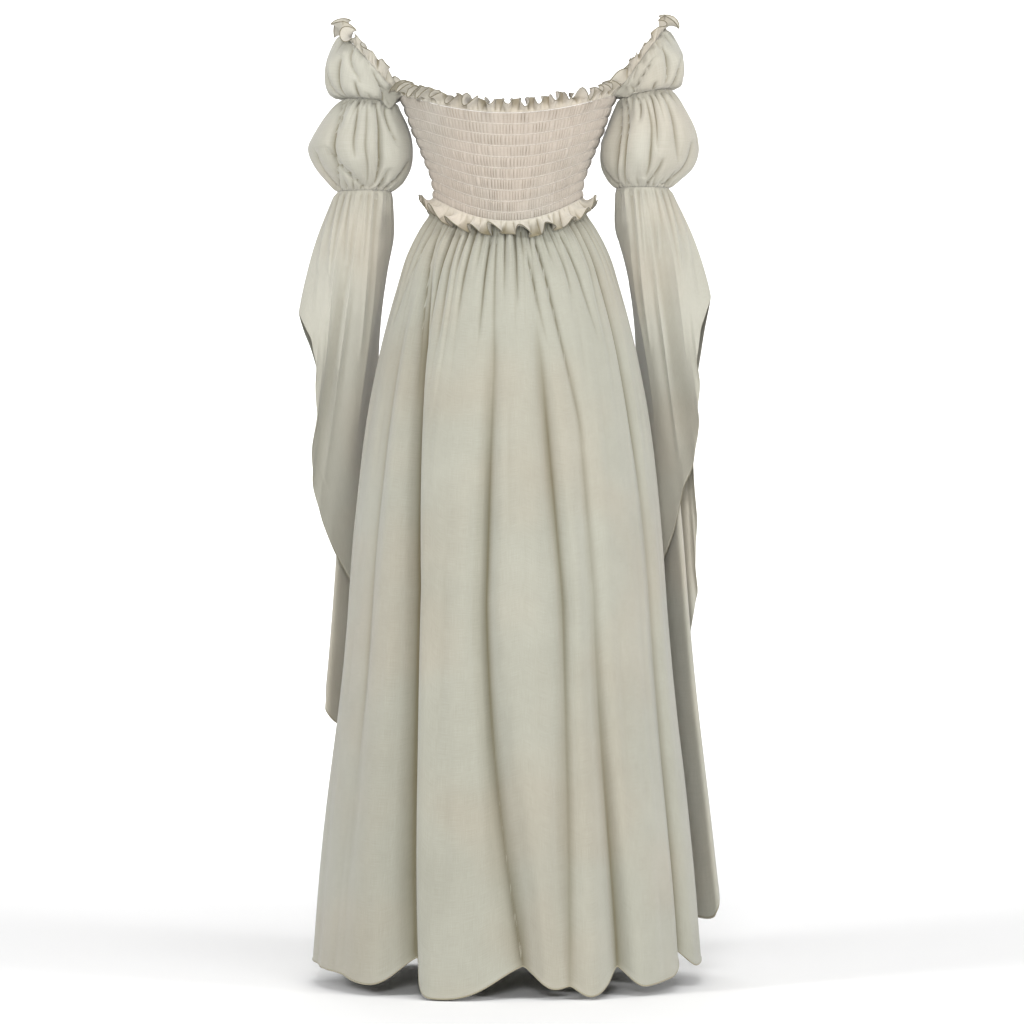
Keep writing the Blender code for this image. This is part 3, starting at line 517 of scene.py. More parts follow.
# The hem of each bell, once round it. Share 0 is the corner at the outside of the arm, 0.25 the
# back, 0.5 the side next to the skirt and 0.75 the front; front is the distance forwards.
BELL_HEMS = {
    "left": table(
        "share out front height",
        (0.00, 313, -14, 1020),
        (0.04, 292, -34, 985),
        (0.08, 283, -36, 945),
        (0.13, 284, -28, 873),
        (0.18, 287, -12, 802),
        (0.23, 282, 8, 745),
        (0.29, 262, 40, 680),
        (0.35, 230, 84, 620),
        (0.41, 195, 137, 545),
        (0.46, 168, 174, 465),
        (0.50, 154, 194, 400),
        (0.55, 172, 198, 370),
        (0.595, 214, 174, 384),
        (0.635, 262, 122, 416),
        (0.665, 271, 122, 446),
        (0.70, 261, 150, 500),
        (0.76, 244, 172, 565),
        (0.82, 248, 156, 650),
        (0.88, 261, 118, 760),
        (0.93, 274, 70, 880),
        (0.97, 297, 22, 980),
    ),
    "right": table(
        "share out front height",
        (0.00, 303, -14, 1040),
        (0.04, 287, -32, 1005),
        (0.08, 279, -35, 955),
        (0.12, 283, -28, 900),
        (0.17, 279, -14, 845),
        (0.21, 270, 4, 795),
        (0.25, 256, 26, 757),
        (0.30, 246, 54, 705),
        (0.35, 222, 98, 635),
        (0.40, 190, 148, 545),
        (0.44, 168, 174, 455),
        (0.475, 153, 204, 365),
        (0.51, 170, 226, 262),
        (0.54, 206, 216, 185),
        (0.575, 260, 176, 122),
        (0.605, 305, 110, 116),
        (0.63, 309, 112, 160),
        (0.655, 297, 136, 230),
        (0.68, 283, 158, 297),
        (0.73, 287, 162, 362),
        (0.79, 268, 170, 480),
        (0.85, 284, 138, 580),
        (0.90, 273, 112, 680),
        (0.94, 274, 74, 810),
        (0.975, 286, 26, 965),
    ),
}


# ---------------------------------------------------------------- working out shapes

def through(values_at, knots, values):
    """A smooth curve through the rows of a table: cubic pieces whose slopes agree at each row."""
    slopes = np.gradient(values, knots)
    place = np.clip(values_at, knots[0], knots[-1])
    row = np.clip(np.searchsorted(knots, place, side="right") - 1, 0, len(knots) - 2)
    width = knots[row + 1] - knots[row]
    s = (place - knots[row]) / width
    rise = values[row + 1] - values[row]
    bend = (1 - s) * (slopes[row] * width - rise) - s * (slopes[row + 1] * width - rise)
    return values[row] + rise * s + s * (1 - s) * bend


def around(share, knots, values):
    """The same for a closed table whose shares run once round from 0 to 1."""
    wide_knots = np.concatenate([knots - 1, knots, knots + 1])
    return through(share % 1.0, wide_knots, np.tile(values, 3))


def wrapped(angle):
    """Degrees brought between -180 and 180."""
    return (angle + 180.0) % 360.0 - 180.0


def smooth_step(share):
    """0 to 1 with a level start and end: 3 s squared minus 2 s cubed."""
    share = np.clip(share, 0, 1)
    return share * share * (3 - 2 * share)


def uneven(across, along, seed, repeat=LATTICE):
    """Smooth seeded heights from -1 to 1: lattice values blended by smooth steps both ways.

    Across and along count lattice cells; across comes round again after repeat cells.
    """
    values = np.random.default_rng(seed).uniform(-1, 1, (LATTICE, repeat))
    across, along = np.broadcast_arrays(across, along)
    row, column = np.floor(along).astype(int), np.floor(across).astype(int)
    s, t = smooth_step(across - column), smooth_step(along - row)
    near, far = column % repeat, (column + 1) % repeat
    low, high = row % LATTICE, (row + 1) % LATTICE
    start = values[low, near] * (1 - s) + values[low, far] * s
    end = values[high, near] * (1 - s) + values[high, far] * s
    return start * (1 - t) + end * t


def uneven_round(share, along, cells, length, seed):
    """The same for a share of the way round, with so many cells round and a length of each."""
    return uneven(share * cells, along / length, seed, cells)


def gathers(share, number, seed):
    """Round ridges with sharp creases between, unevenly spaced and high.

    The ridge is the root of a squared cosine, whose phase and height wander with the unevenness.
    """
    cells = max(int(number * GATHER_WANDER_CELLS), 2)
    turn = np.pi * number * share + GATHER_WANDER * uneven(share * cells, seed, seed, cells)
    ridge = np.sqrt(np.cos(turn) ** 2 + RIDGE_ROUNDING) - RIDGE_LEVEL
    pairs = number / 2
    height = uneven(share * pairs, seed + 7, seed + 1, max(int(pairs), 2))
    return RIDGE_GAIN * ridge * (1 + GATHER_UNEVEN * height)


def narrow_floor(off):
    """Section of a crease: 1 at its floor, falling off as e to the distance, barely rounded."""
    return np.exp(CREASE_FLOOR - np.sqrt(off ** 2 + CREASE_FLOOR ** 2))


def creases(share, along, rows):
    """Depth of listed creases: narrow-floored troughs along curves through three places.

    Along a crease its depth is the root of a half sine.
    """
    depth = np.zeros(np.broadcast(share, along).shape)
    for n in range(len(rows["depth"])):
        start, middle, end = (rows[name][n] for name in ("start", "middle", "end"))
        on = np.clip((along - rows["top"][n]) / (rows["low"][n] - rows["top"][n]), 0, 1)
        path = start * (1 - on) + end * on + (4 * middle - 2 * start - 2 * end) * on * (1 - on)
        off = ((share - path + 0.5) % 1.0 - 0.5) / rows["spread"][n]
        depth += rows["depth"][n] * np.sqrt(np.sin(np.pi * on)) * narrow_floor(off)
    return depth


def crumples(across, along, seed, repeat):
    """Crooked creases: sharp-floored troughs where a seeded unevenness crosses nought."""
    line = uneven(across, along, seed, repeat)
    deep = uneven(across / 2, along / 2, seed + 1, max(repeat // 2, 2))
    deep = 1 - CRUMPLE_UNEVEN + CRUMPLE_UNEVEN * deep
    return deep * (CRUMPLE_LEVEL - np.exp(-np.abs(line) / CRUMPLE_WIDTH))


def points(x, y, z):
    """Stack three arrays as grid points."""
    return np.stack(np.broadcast_arrays(x, y, z), axis=-1).astype(float)


def normals(sheet, closed):
    """Unit normals of a grid, from the differences of its rows and of its columns."""
    if closed:
        along = np.roll(sheet, -1, axis=1) - np.roll(sheet, 1, axis=1)
    else:
        along = np.gradient(sheet, axis=1)
    normal = np.cross(along, np.gradient(sheet, axis=0))
    size = np.linalg.norm(normal, axis=2, keepdims=True)
    return normal / np.maximum(size, 1e-9)


def waist_height(angle):
    """Height of the waist seam: it rises from the middle to the sides as a squared sine."""
    return WAIST_MIDDLE + WAIST_SIDE_RISE * np.sin(np.radians(angle)) ** 2


def neck_height(angle):
    """Height of the neck seam: the front is a little lower, both rise as a squared sine."""
    middle = np.where(np.abs(angle) < 90, BACK_NECK, FRONT_NECK)
    return middle + (UNDERARM - middle) * np.sin(np.radians(angle)) ** 2


def oval(angle, half_width, back_depth, front_depth):
    """A point and outward direction on an oval: two half ellipses, for the back and the front."""
    turn = np.radians(angle)
    depth = np.where(np.abs(angle) <= 90, back_depth, front_depth)
    x, y = half_width * np.sin(turn), -depth * np.cos(turn)
    out_x, out_y = np.sin(turn) / half_width, -np.cos(turn) / depth
    size = np.hypot(out_x, out_y)
    return x, y, out_x / size, out_y / size


def skirt_sizes(drop):
    """Half width, back depth and front depth of the skirt at a drop below the waist seam."""
    names = ("half_width", "back_depth", "front_depth")
    return [through(drop, SKIRT_SECTIONS["drop"], SKIRT_SECTIONS[name]) for name in names]


def skirt_folds(angle, down, drop):
    """How far the large folds go in: a sum of valleys that wander down the skirt.

    Across, each is bell-shaped, steeper on one side, with a narrow floor that falls off as e to
    the distance. Down the skirt it comes in along a parabola, and wanders from its place at the
    waist to those half way and at the hem by a power of the way to each.
    """
    depth = np.zeros_like(drop)
    folds = SKIRT_FOLDS
    upper = np.minimum(down * 2, 1) ** FOLD_TURN_HIGH
    lower = np.clip(down * 2 - 1, 0, 1)
    for n in range(len(folds["start"])):
        turn_upper = wrapped(folds["angle_half"][n] - folds["angle_top"][n])
        turn_lower = wrapped(folds["angle_hem"][n] - folds["angle_half"][n])
        path = folds["angle_top"][n] + turn_upper * upper + turn_lower * lower ** FOLD_TURN_LOW
        deep = folds["depth_half"][n] * (1 - lower) + folds["depth_hem"][n] * lower
        spread = folds["spread_half"][n] * (1 - lower) + folds["spread_hem"][n] * lower
        growth = np.clip((drop - folds["start"][n]) / FOLD_GROWTH, 0, 1)
        growth = growth * (2 - growth)
        off = wrapped(angle - path) / spread
        off = off * np.where(off > 0, VALLEY_STEEP, VALLEY_GENTLE)
        valley = VALLEY_ROUND * np.exp(-0.5 * off ** 2)
        valley += (1 - VALLEY_ROUND) * np.exp(-VALLEY_FLOOR * np.abs(off))
        depth += deep * growth * valley
    return depth


def long_gathers(angle, drop):
    """Depth of the listed gathers below the waist: narrow-floored, fading downwards."""
    depth = np.zeros_like(drop)
    rows = LONG_GATHERS
    for n in range(len(rows["depth"])):
        on = np.clip((drop - rows["top"][n]) / (rows["low"][n] - rows["top"][n]), 0, 1)
        turn = wrapped(rows["angle_low"][n] - rows["angle_top"][n])
        off = wrapped(angle - rows["angle_top"][n] - turn * on) / rows["spread"][n]
        fade = np.minimum(on * LONG_GATHER_ONSET, 1) * (1 - on) * (1 + on)
        depth += rows["depth"][n] * fade * narrow_floor(off)
    return depth


def skirt_surface(angle, down):
    """Skirt: ovals through the section table, less the folds, plus gathers that fade unevenly.

    Gathers fade as e to the drop, each over its own reach, and lean a little; a soft unevenness
    grows below them. The hem follows a squared sine, and rises where a fold goes in.
    """
    whole = np.ones_like(down)
    lift = HEM_LIFT * skirt_folds(angle, whole, whole * WAIST_MIDDLE)
    hem = HEM_MIDDLE + HEM_SIDE_RISE * np.sin(np.radians(angle)) ** 2 + lift
    start = waist_height(angle) - SEAM_GAP
    height = start + (hem - start) * down
    drop = waist_height(angle) - height
    x, y, out_x, out_y = oval(angle, *skirt_sizes(drop))
    share = (angle / 360.0) % 1.0
    reach = uneven(share * WAIST_GATHERS, BETWEEN_ROWS, SKIRT_SEED, WAIST_GATHERS)
    reach = GATHER_SHORT + (GATHER_LONG - GATHER_SHORT) * ((1 + reach) / 2) ** 2
    lean = uneven_round(share, drop, cells=20, length=160, seed=SKIRT_SEED + 1)
    lean = share + GATHER_LEAN * lean * np.minimum(drop / GATHER_LEAN_START, 1)
    gather = WAIST_GATHER_DEPTH * gathers(lean, WAIST_GATHERS, SKIRT_SEED + 2)
    gather = gather * np.exp(-drop / reach)
    fine = FINE_GATHER_DEPTH * gathers(lean, FINE_GATHERS, SKIRT_SEED + 3)
    gather = gather + fine * np.exp(-drop / FINE_GATHER_FADE) - long_gathers(angle, drop)
    sway = SKIRT_SWAY * uneven_round(share, drop, cells=46, length=330, seed=SKIRT_SEED + 4)
    fine_sway = uneven_round(share, drop, cells=110, length=170, seed=SKIRT_SEED + 5)
    sway = sway + SKIRT_FINE_SWAY * fine_sway
    move = (gather * np.minimum(drop / GATHER_START, 1)
            + sway * np.minimum(drop / SKIRT_SWAY_START, 1) - skirt_folds(angle, down, drop))
    return points(x + out_x * move, y + out_y * move, height)


def bodice_surface(angle, share):
    """Bodice without its shirring: ovals through the section table, between waist and neck."""
    low = waist_height(angle)
    height = low + (neck_height(angle) - low) * share
    names = ("half_width", "back_depth", "front_depth")
    sizes = [through(share, BODICE_SECTIONS["share"], BODICE_SECTIONS[name]) for name in names]
    x, y, out_x, out_y = oval(angle, *sizes)
    return points(x, y, height), points(out_x, out_y, np.zeros_like(x))


def shirring(across, share, seed):
    """Height of the shirred cloth: bands that swell between elastics, cut by upright puckers.

    A band swells as a power of a sine between its two elastic rows. The puckers are ridges, the
    root of a squared cosine, that run straight up a band and change their places and heights at
    the next elastic.
    """
    band = share * SHIRR_BANDS
    swell = np.abs(np.sin(np.pi * band)) ** SHIRR_SWELL
    place = np.floor(band) + smooth_step((band % 1 - PUCKER_HOLD) / (1 - PUCKER_HOLD))
    wander = PUCKER_WANDER * uneven(across * PUCKERS / WANDER_PUCKERS, place, seed)
    ridge = np.sqrt(np.cos(np.pi * PUCKERS * across + wander) ** 2 + PUCKER_ROUNDING)
    height = uneven(across * PUCKERS / UNEVEN_PUCKERS, place + UNEVEN_START, seed + 1)
    height = PUCKER_HEIGHT + PUCKER_UNEVEN * height
    full = SHIRR_PUFF * swell * (1 - SHIRR_CREST + SHIRR_CREST * ridge * height)
    return full + ELASTIC_PUCKER * (ridge - PUCKER_LEVEL) * (1 - swell)


def sleeve_points(side, out, front, height):
    """Points beside the dress: out from its middle on one side, forwards, and up."""
    return points(SIDES[side] * out, front, height)


def underarm_share(turn):
    """1 where an upper puff is sewn to the bodice under the arm, 0 round the rest, eased."""
    wide, narrow = np.cos(np.radians(UNDERARM_SEAM_ENDS))
    return smooth_step((-np.cos(turn) - wide) / (narrow - wide))


def upper_loop(side, turn):
    """The neck end of an upper puff: a tilted oval, eased onto the bodice's edge at the underarm.

    Turn is in radians from the outside of the arm towards the back.
    """
    p = UPPER_PUFFS[side]
    outside = (1 + np.cos(turn)) / 2
    out = p["low_out"] + (p["high_out"] - p["low_out"]) * outside
    height = p["low_height"] + (p["high_height"] - p["low_height"]) * outside
    front = -p["depth"] * np.sin(turn)
    top = {name: values[-1] for name, values in BODICE_SECTIONS.items()}
    depth = np.where(front < 0, top["back_depth"], top["front_depth"])
    edge, _ = bodice_surface(np.degrees(np.arccos(-front / depth)), np.ones_like(front))
    sewn = underarm_share(turn)
    out = out + (edge[..., 0] + SEAM_GAP / 3 - out) * sewn
    height = height + (edge[..., 2] + SEAM_GAP - height) * sewn
    return out, front, height


def arm_ring(side, turn, row):
    """A lower puff's section as a ring: out, front and height; row -1 is the elbow elastic."""
    p = LOWER_PUFFS[side]
    half = p["half_width"][row]
    return (p["out"][row] + half * np.cos(turn), -half * PUFF_DEPTH_SHARE * np.sin(turn),
            p["height"][row] + p["tilt"][row] * np.cos(turn))


def puff_gathers(share, along, seed):
    """Gathers that start at both elastics of a puff and die away as a bell curve from there."""
    end = np.minimum(along, 1 - along)
    reach = uneven_round(share, BETWEEN_ROWS, cells=20, length=1, seed=seed)
    reach = PUFF_GATHER_REACH * (1 + PUFF_UNEVEN_REACH * reach)
    fade = np.exp(-(end / reach) ** 2) * np.minimum(end * PUFF_GATHER_ONSET, 1)
    coarse = PUFF_GATHER_DEPTH * gathers(share + PUFF_TWIST * along, PUFF_GATHERS, seed + 1)
    fine = PUFF_FINE_DEPTH * gathers(share, PUFF_FINE_GATHERS, seed + 2)
    return (coarse + fine * np.exp(-end * PUFF_FINE_FADE)) * fade


def puff_creases(share, along, seed, rows):
    """The full part of a puff: soft dents, crooked crumples, and the listed creases.

    Dents and crumples are full half way along, as a half sine.
    """
    dents = PUFF_DENT * uneven(share * DENTS_ROUND, along * DENTS_DOWN, seed, DENTS_ROUND)
    fine = uneven(share * FINE_DENTS_ROUND, along * FINE_DENTS_DOWN, seed, FINE_DENTS_ROUND)
    crumple = crumples(share * CRUMPLES_ROUND + CRUMPLE_TWIST * along, along * CRUMPLES_DOWN,
                       seed + 3, CRUMPLES_ROUND)
    full = (dents + PUFF_FINE_DENT * fine + PUFF_CRUMPLE * crumple) * np.sin(np.pi * along)
    return full - PUFF_CREASE_GAIN * creases(share, along, rows)


def upper_puff_surface(side, turn, up):
    """Upper puff: straight lines from arm elastic to neck loop, swelled as a sine and drooped.

    Part of it hangs over the arm elastic as a small lobe, a bell curve round the arm.
    """
    p = UPPER_PUFFS[side]
    ring_out, ring_front, ring_height = arm_ring(side, turn, 0)
    loop_out, loop_front, loop_height = upper_loop(side, turn)
    outside = ((1 + np.cos(turn)) / 2) ** UPPER_FULLNESS
    free = 1 - underarm_share(turn)
    swell = np.sin(np.pi * up ** UPPER_FULLNESS) ** UPPER_FULLNESS * p["puff_out"] * outside
    share = (turn / (2 * np.pi)) % 1.0
    detail = puff_gathers(share, up, UPPER_PUFF_SEED)
    detail = detail + puff_creases(share, up, UPPER_PUFF_SEED + 4, UPPER_CREASES[side])
    swell = swell + detail * free * np.sqrt(outside)
    hang = np.sin(np.pi * np.minimum(up / UPPER_DROOP_SHARE, 1))
    lobe = PUFF_LOBES[side] * np.exp(-((share - LOBE_SHARE) / LOBE_SPREAD) ** 2)
    droop = (p["droop"] * np.sqrt(outside) * free + lobe) * hang
    out = ring_out + (loop_out - ring_out) * up + swell * np.cos(turn)
    front = ring_front + (loop_front - ring_front) * up - swell * np.sin(turn)
    height = ring_height + SEAM_GAP / 2 + (loop_height - ring_height) * up - droop
    return sleeve_points(side, out, front, height)


def lower_puff_surface(side, turn, down):
    """Lower puff: round sections through its table, with gathers, dents and creases."""
    p = LOWER_PUFFS[side]
    rows = np.linspace(0, 1, len(p["height"]))
    half = through(down, rows, p["half_width"])
    middle = through(down, rows, p["out"])
    height = through(down, rows, p["height"]) + through(down, rows, p["tilt"]) * np.cos(turn)
    share = (turn / (2 * np.pi)) % 1.0
    half = half + puff_gathers(share, down, LOWER_PUFF_SEED)
    half = half + puff_creases(share, down, LOWER_PUFF_SEED + 4, LOWER_CREASES[side])
    height = height + SEAM_GAP / 2 - SEAM_GAP * (1 - down)
    return sleeve_points(side, middle + half * np.cos(turn),
                         -half * PUFF_DEPTH_SHARE * np.sin(turn), height)


def skirt_side(around_share):
    """0 where a bell faces the skirt, 1 where it faces away: a power of a raised cosine."""
    turn = 2 * np.pi * (around_share - BELL_INNERMOST)
    return ((1 - np.cos(turn)) / 2) ** BELL_SIDE_POWER


def clear_of_skirt(out, front, height, clear):
    """Push points of a bell outwards until they lie clear of the skirt's plain sections.

    Place is 1 on the clear line round the skirt; a soft maximum of place and 1 is where a point
    goes, so the bend between the free cloth and the cloth that bears on the skirt is rounded.
    """
    drop = np.maximum(WAIST_MIDDLE + WAIST_SIDE_RISE - height, 0)
    half_width, _, front_depth = skirt_sizes(drop)
    place = np.hypot(out / (half_width + clear), front / (front_depth + clear))
    push = np.logaddexp(place * BELL_PUSH, BELL_PUSH) / BELL_PUSH / place
    push = 1 + (push - 1) * np.clip(drop / BELL_PUSH_DROP, 0, 1)
    return out * push, front * push


def room_for_folds(sheet):
    """Fold depth on a bell: a share of its girth there, so shallower where its columns crowd."""
    step = np.linalg.norm(np.roll(sheet, -1, axis=1) - np.roll(sheet, 1, axis=1), axis=2)
    return np.minimum(BELL_FOLD_DEPTH, BELL_FOLD_SHARE * step * sheet.shape[1] / 2)


def bell_surface(side, around_share, down):
    """Bell: straight lines from the elbow ring to the hem table, flared, kept off the skirt.

    Part of its inner back hangs plumb before it turns forwards, by a power of the way down. Two
    waves round the arm make its soft folds; gathers fade out below the elbow elastic, and curls
    fade upwards from its hem.
    """
    hem = BELL_HEMS[side]
    turn = 2 * np.pi * around_share
    ring_out, ring_front, ring_height = arm_ring(side, turn, -1)
    hem_out, hem_front, hem_height = (around(around_share, hem["share"], hem[name])
                                      for name in ("out", "front", "height"))
    start = ring_height - SEAM_GAP / 2
    height = start + (hem_height - start) * down
    drop = start - height
    out = ring_out + (hem_out - ring_out) * down
    plumb = 1 + BELL_HANG * np.exp(-((around_share - BELL_HANG_MIDDLE) / BELL_HANG_SPREAD) ** 2)
    front = ring_front + (hem_front - ring_front) * down ** plumb
    away = skirt_side(around_share)
    spring = np.sin(np.pi * np.minimum(drop / BELL_FLARE_DROP, 1))
    flare = BELL_FLARE * spring * (1 - down) * away
    out = out + flare * np.cos(turn)
    front = front - flare * np.sin(turn)
    out, front = clear_of_skirt(out, front, height, BELL_CLEAR + BELL_LOFT * away)
    sheet = sleeve_points(side, out, front, height)
    room = room_for_folds(sheet)
    (waves, phase, size), (fine_waves, fine_phase, fine_size) = BELL_FOLD_WAVES
    fold = size * np.sin(waves * turn + phase)
    fold = fold + fine_size * np.sin(fine_waves * turn + fine_phase + BELL_FOLD_TWIST * down)
    fold = fold * away * np.minimum(drop / BELL_FOLD_START, 1) * room
    gather = BELL_GATHER_DEPTH * gathers(around_share, BELL_GATHERS, BELL_SEED)
    gather = gather * np.exp(-drop / BELL_GATHER_FADE)
    fine = BELL_FINE_DEPTH * gathers(around_share, BELL_FINE_GATHERS, BELL_SEED + 1)
    gather = gather + fine * np.exp(-drop / BELL_FINE_FADE)
    gather = gather * np.minimum(drop / BELL_GATHER_START, 1)
    sway = uneven_round(around_share, drop, cells=17, length=150, seed=BELL_SEED + 2)
    sway = BELL_SWAY * sway * away * np.minimum(drop / BELL_SWAY_START, 1)
    curl = np.exp(-(1 - down) / BELL_CURL_REACH) * away
    curl = curl * BELL_CURL_DEPTH * gathers(around_share, BELL_CURLS, BELL_SEED + 3)
    crease = creases(around_share, down, BELL_CREASES)
    outward = normals(sheet, True) * -SIDES[side]
    move = fold + gather + (sway + curl - crease) * room / BELL_FOLD_DEPTH
    return sheet + outward * move[..., None]


# ---------------------------------------------------------------- meshes

def cell_corners(rows, columns):
    """Rows and columns of the four corners of every cell of a grid."""
    row, column = np.meshgrid(np.arange(rows - 1), np.arange(columns - 1), indexing="ij")
    return (np.stack([row, row, row + 1, row + 1], -1).reshape(-1, 4),
            np.stack([column, column + 1, column + 1, column], -1).reshape(-1, 4))


def sheet_corners(first, rows, columns, closed, step):
    """Point numbers, grid rows and grid columns at the corners of a sheet's cells."""
    row, column = cell_corners(rows, columns + 1 if closed else columns)
    return first + row * columns + column % columns, row * step, column


def rim_corners(outer, inner):
    """Cells that join an outer line of (point, row, column) entries to an inner one."""
    return tuple(np.stack([o[1:], o[:-1], i[:-1], i[1:]], -1) for o, i in zip(outer, inner))


def side_corners(outer, inner, step):
    """Cells down a free side: several outer points to each step of the inner line."""
    steps = len(inner[0]) - 1
    at = np.arange(steps)[:, None] * step + np.arange(step + 1)
    return tuple(np.concatenate([o[at], i[1:, None], i[:-1, None]], 1)
                 for o, i in zip(outer, inner))


def flipped(corners):
    """The same cells, facing the other way."""
    return tuple(entries[:, ::-1] for entries in corners)


def bend_inwards(outer, outward, closed):
    """How sharply the cloth bends inwards across its columns, from 0 to 1, over three widths.

    For each width it is a point's distance below the line between its two neighbours, divided by
    half that line's length, or by a least length where the columns crowd together.
    """
    columns = np.arange(outer.shape[1])
    total = np.zeros(outer.shape[:2])
    for reach, weight in CREASE_REACHES:
        ends = [columns - reach, columns + reach]
        ends = [end % len(columns) if closed else np.clip(end, 0, len(columns) - 1) for end in ends]
        before, after = (outer[:, end] for end in ends)
        below = np.sum(((before + after) / 2 - outer) * outward, axis=2)
        half_line = np.maximum(np.linalg.norm(after - before, axis=2) / 2, CREASE_LEAST_SPAN)
        total += weight * np.clip(below / half_line, 0, 1)
    return np.clip(total, 0, 1)


def cloth_wall(name, outer, inner, closed, flat, down_rows, edge, material):
    """One cloth wall: both sheets and the rims between them, as one closed mesh.

    Its UV map "cloth" holds the place on the flat cut in metres, the attribute "edge" is 1
    along a rolled hem, and "crease" tells how sharply the outside bends inwards, which sets how
    much shade is painted into the creases.
    """
    rows, columns = outer.shape[:2]
    inner_rows = inner.shape[0]
    step = (rows - 1) // (inner_rows - 1)
    outward = normals(outer, closed)
    if np.sum(outward[::step] * (outer[::step] - inner)) < 0:
        outward = -outward
    # how sharply the outside bends inwards: the mask of the painted shade in creases
    crease = np.concatenate([bend_inwards(outer, outward, closed).ravel(),
                             np.zeros(inner_rows * columns)])
    first_inner = rows * columns
    across = np.arange(columns + 1 if closed else columns)

    def line(row, on_inner):
        """Entries along one row of the outer or inner sheet."""
        number = (first_inner if on_inner else 0) + (row // step if on_inner else row) * columns
        return number + across % columns, np.full_like(across, row), across

    def side(column, on_inner):
        """Entries down one side of the outer or inner sheet."""
        row = np.arange(inner_rows if on_inner else rows)
        start = first_inner if on_inner else 0
        return (start + row * columns + column, row * (step if on_inner else 1),
                np.full_like(row, column))

    last_row, last_column = rows - 1, columns - 1
    parts = [sheet_corners(0, rows, columns, closed, 1),
             flipped(sheet_corners(first_inner, inner_rows, columns, closed, step)),
             rim_corners(line(0, False), line(0, True)),
             flipped(rim_corners(line(last_row, False), line(last_row, True)))]
    if not closed:
        last_side = side_corners(side(last_column, False), side(last_column, True), step)
        parts += [side_corners(side(0, False), side(0, True), step), flipped(last_side)]
    verts = np.concatenate([outer.reshape(-1, 3), inner.reshape(-1, 3)])
    verts = (verts - (0, 0, CHEST_HEIGHT)) * MM
    a, b, c = (verts[parts[0][0][:, corner]] for corner in (0, 1, 2))
    from_middle = (a - verts.mean(0)) * (1, 1, 0)
    if np.sum(np.cross(b - a, c - a) * from_middle) < 0:
        parts = [flipped(part) for part in parts]
    ids, grid_rows, grid_columns = (np.concatenate([part[k].ravel() for part in parts])
                                    for k in range(3))
    sizes = np.concatenate([np.full(len(part[0]), part[0].shape[1]) for part in parts])
    u = grid_columns / (columns if closed else columns - 1) * flat[0]
    v = -down_rows[grid_rows] * flat[1]
    hem = np.concatenate([np.repeat(edge, columns), np.repeat(edge[::step], columns)])
    return mesh_object(name, verts, ids, sizes, material, np.stack([u, v], 1),
                       {"edge": hem, "crease": crease})


def mesh_object(name, verts, ids, sizes, material, uvs=None, point_values=None):
    """A smooth mesh from points, corner numbers and face sizes, with its map and attributes."""
    mesh = bpy.data.meshes.new(name)
    mesh.vertices.add(len(verts))
    mesh.vertices.foreach_set("co", verts.astype(np.float32).ravel())
    mesh.loops.add(len(ids))
    mesh.loops.foreach_set("vertex_index", ids.astype(np.int32))
    mesh.polygons.add(len(sizes))
    starts = np.concatenate([[0], np.cumsum(sizes)[:-1]])
    mesh.polygons.foreach_set("loop_start", starts.astype(np.int32))
    mesh.update(calc_edges=True)
    if uvs is not None:
        mesh.uv_layers.new(name="cloth").uv.foreach_set("vector", uvs.astype(np.float32).ravel())
    for kind, values in (point_values or {}).items():
        attribute = mesh.attributes.new(kind, "FLOAT", "POINT")
        attribute.data.foreach_set("value", values.astype(np.float32))
    mesh.shade_smooth()
    mesh.materials.append(material)
    piece = bpy.data.objects.new(name, mesh)
    bpy.context.scene.collection.objects.link(piece)
    return piece


def inside_of(outer, closed, inward, step):
    """The inner grid: every step-th row, moved inwards by a cloth's thickness."""
    normal = normals(outer, closed)[::step]
    picked = outer[::step]
    if np.sum(normal * inward[::step]) < 0:
        normal = -normal
    return picked + normal * CLOTH


def to_middle(sheet):
    """Directions from a grid's points towards the upright line through its middle."""
    middle = sheet.reshape(-1, 3).mean(0)
    return sheet * (0, 0, 1) + middle * (1, 1, 0) - sheet


def half_angles(half, columns):
    """Column angles in degrees from the middle back: the back is -90 to 90, the front 90 to 270."""
    return np.linspace(HALF_STARTS[half], HALF_STARTS[half] + 180.0, columns + 1)


def round_angles(columns):
    """Column angles of a closed piece, in radians from the outside of the arm."""
    return np.linspace(0, 2 * np.pi, columns + 1)[:-1]


def level_rims(outer, inner, rows=(0,)):
    """Give the inner grid's rims the heights of the outer's, so that a seam lies level."""
    for row in rows:
        inner[row, :, 2] = outer[row, :, 2]


def set_side_seams(half, *sheets):
    """Bring the two side edges of a half's sheets to their side of the side seam."""
    for sheet in sheets:
        sheet[:, (0, -1), 1] = -SEAM_GAP / 2 if half == "back" else SEAM_GAP / 2


def hem_rows(rows, hem_share, power=1.0):
    """Row places from 0 to 1, the last few packed into the rolled hem, and the hem's roll there.

    The places go by a power of the row. The roll is a half sine across the hem, cut short at the
    edge; the edge value is 1 on the hem.
    """
    body = np.linspace(0, 1, rows + 1 - INNER_STEP) ** power * (1 - hem_share)
    roll = np.linspace(0, 1, INNER_STEP + 1)[1:]
    places = np.concatenate([body, 1 - hem_share + hem_share * roll])
    bulge = np.concatenate([np.zeros(len(body)), np.sin(np.pi * np.minimum(roll, ROLL_END))])
    edge = np.concatenate([np.zeros(len(body)), np.ones(INNER_STEP)])
    return places, bulge, edge


def finished(piece, replaced):
    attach(piece, "root")
    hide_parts(replaced)
    return piece


# ---------------------------------------------------------------- materials

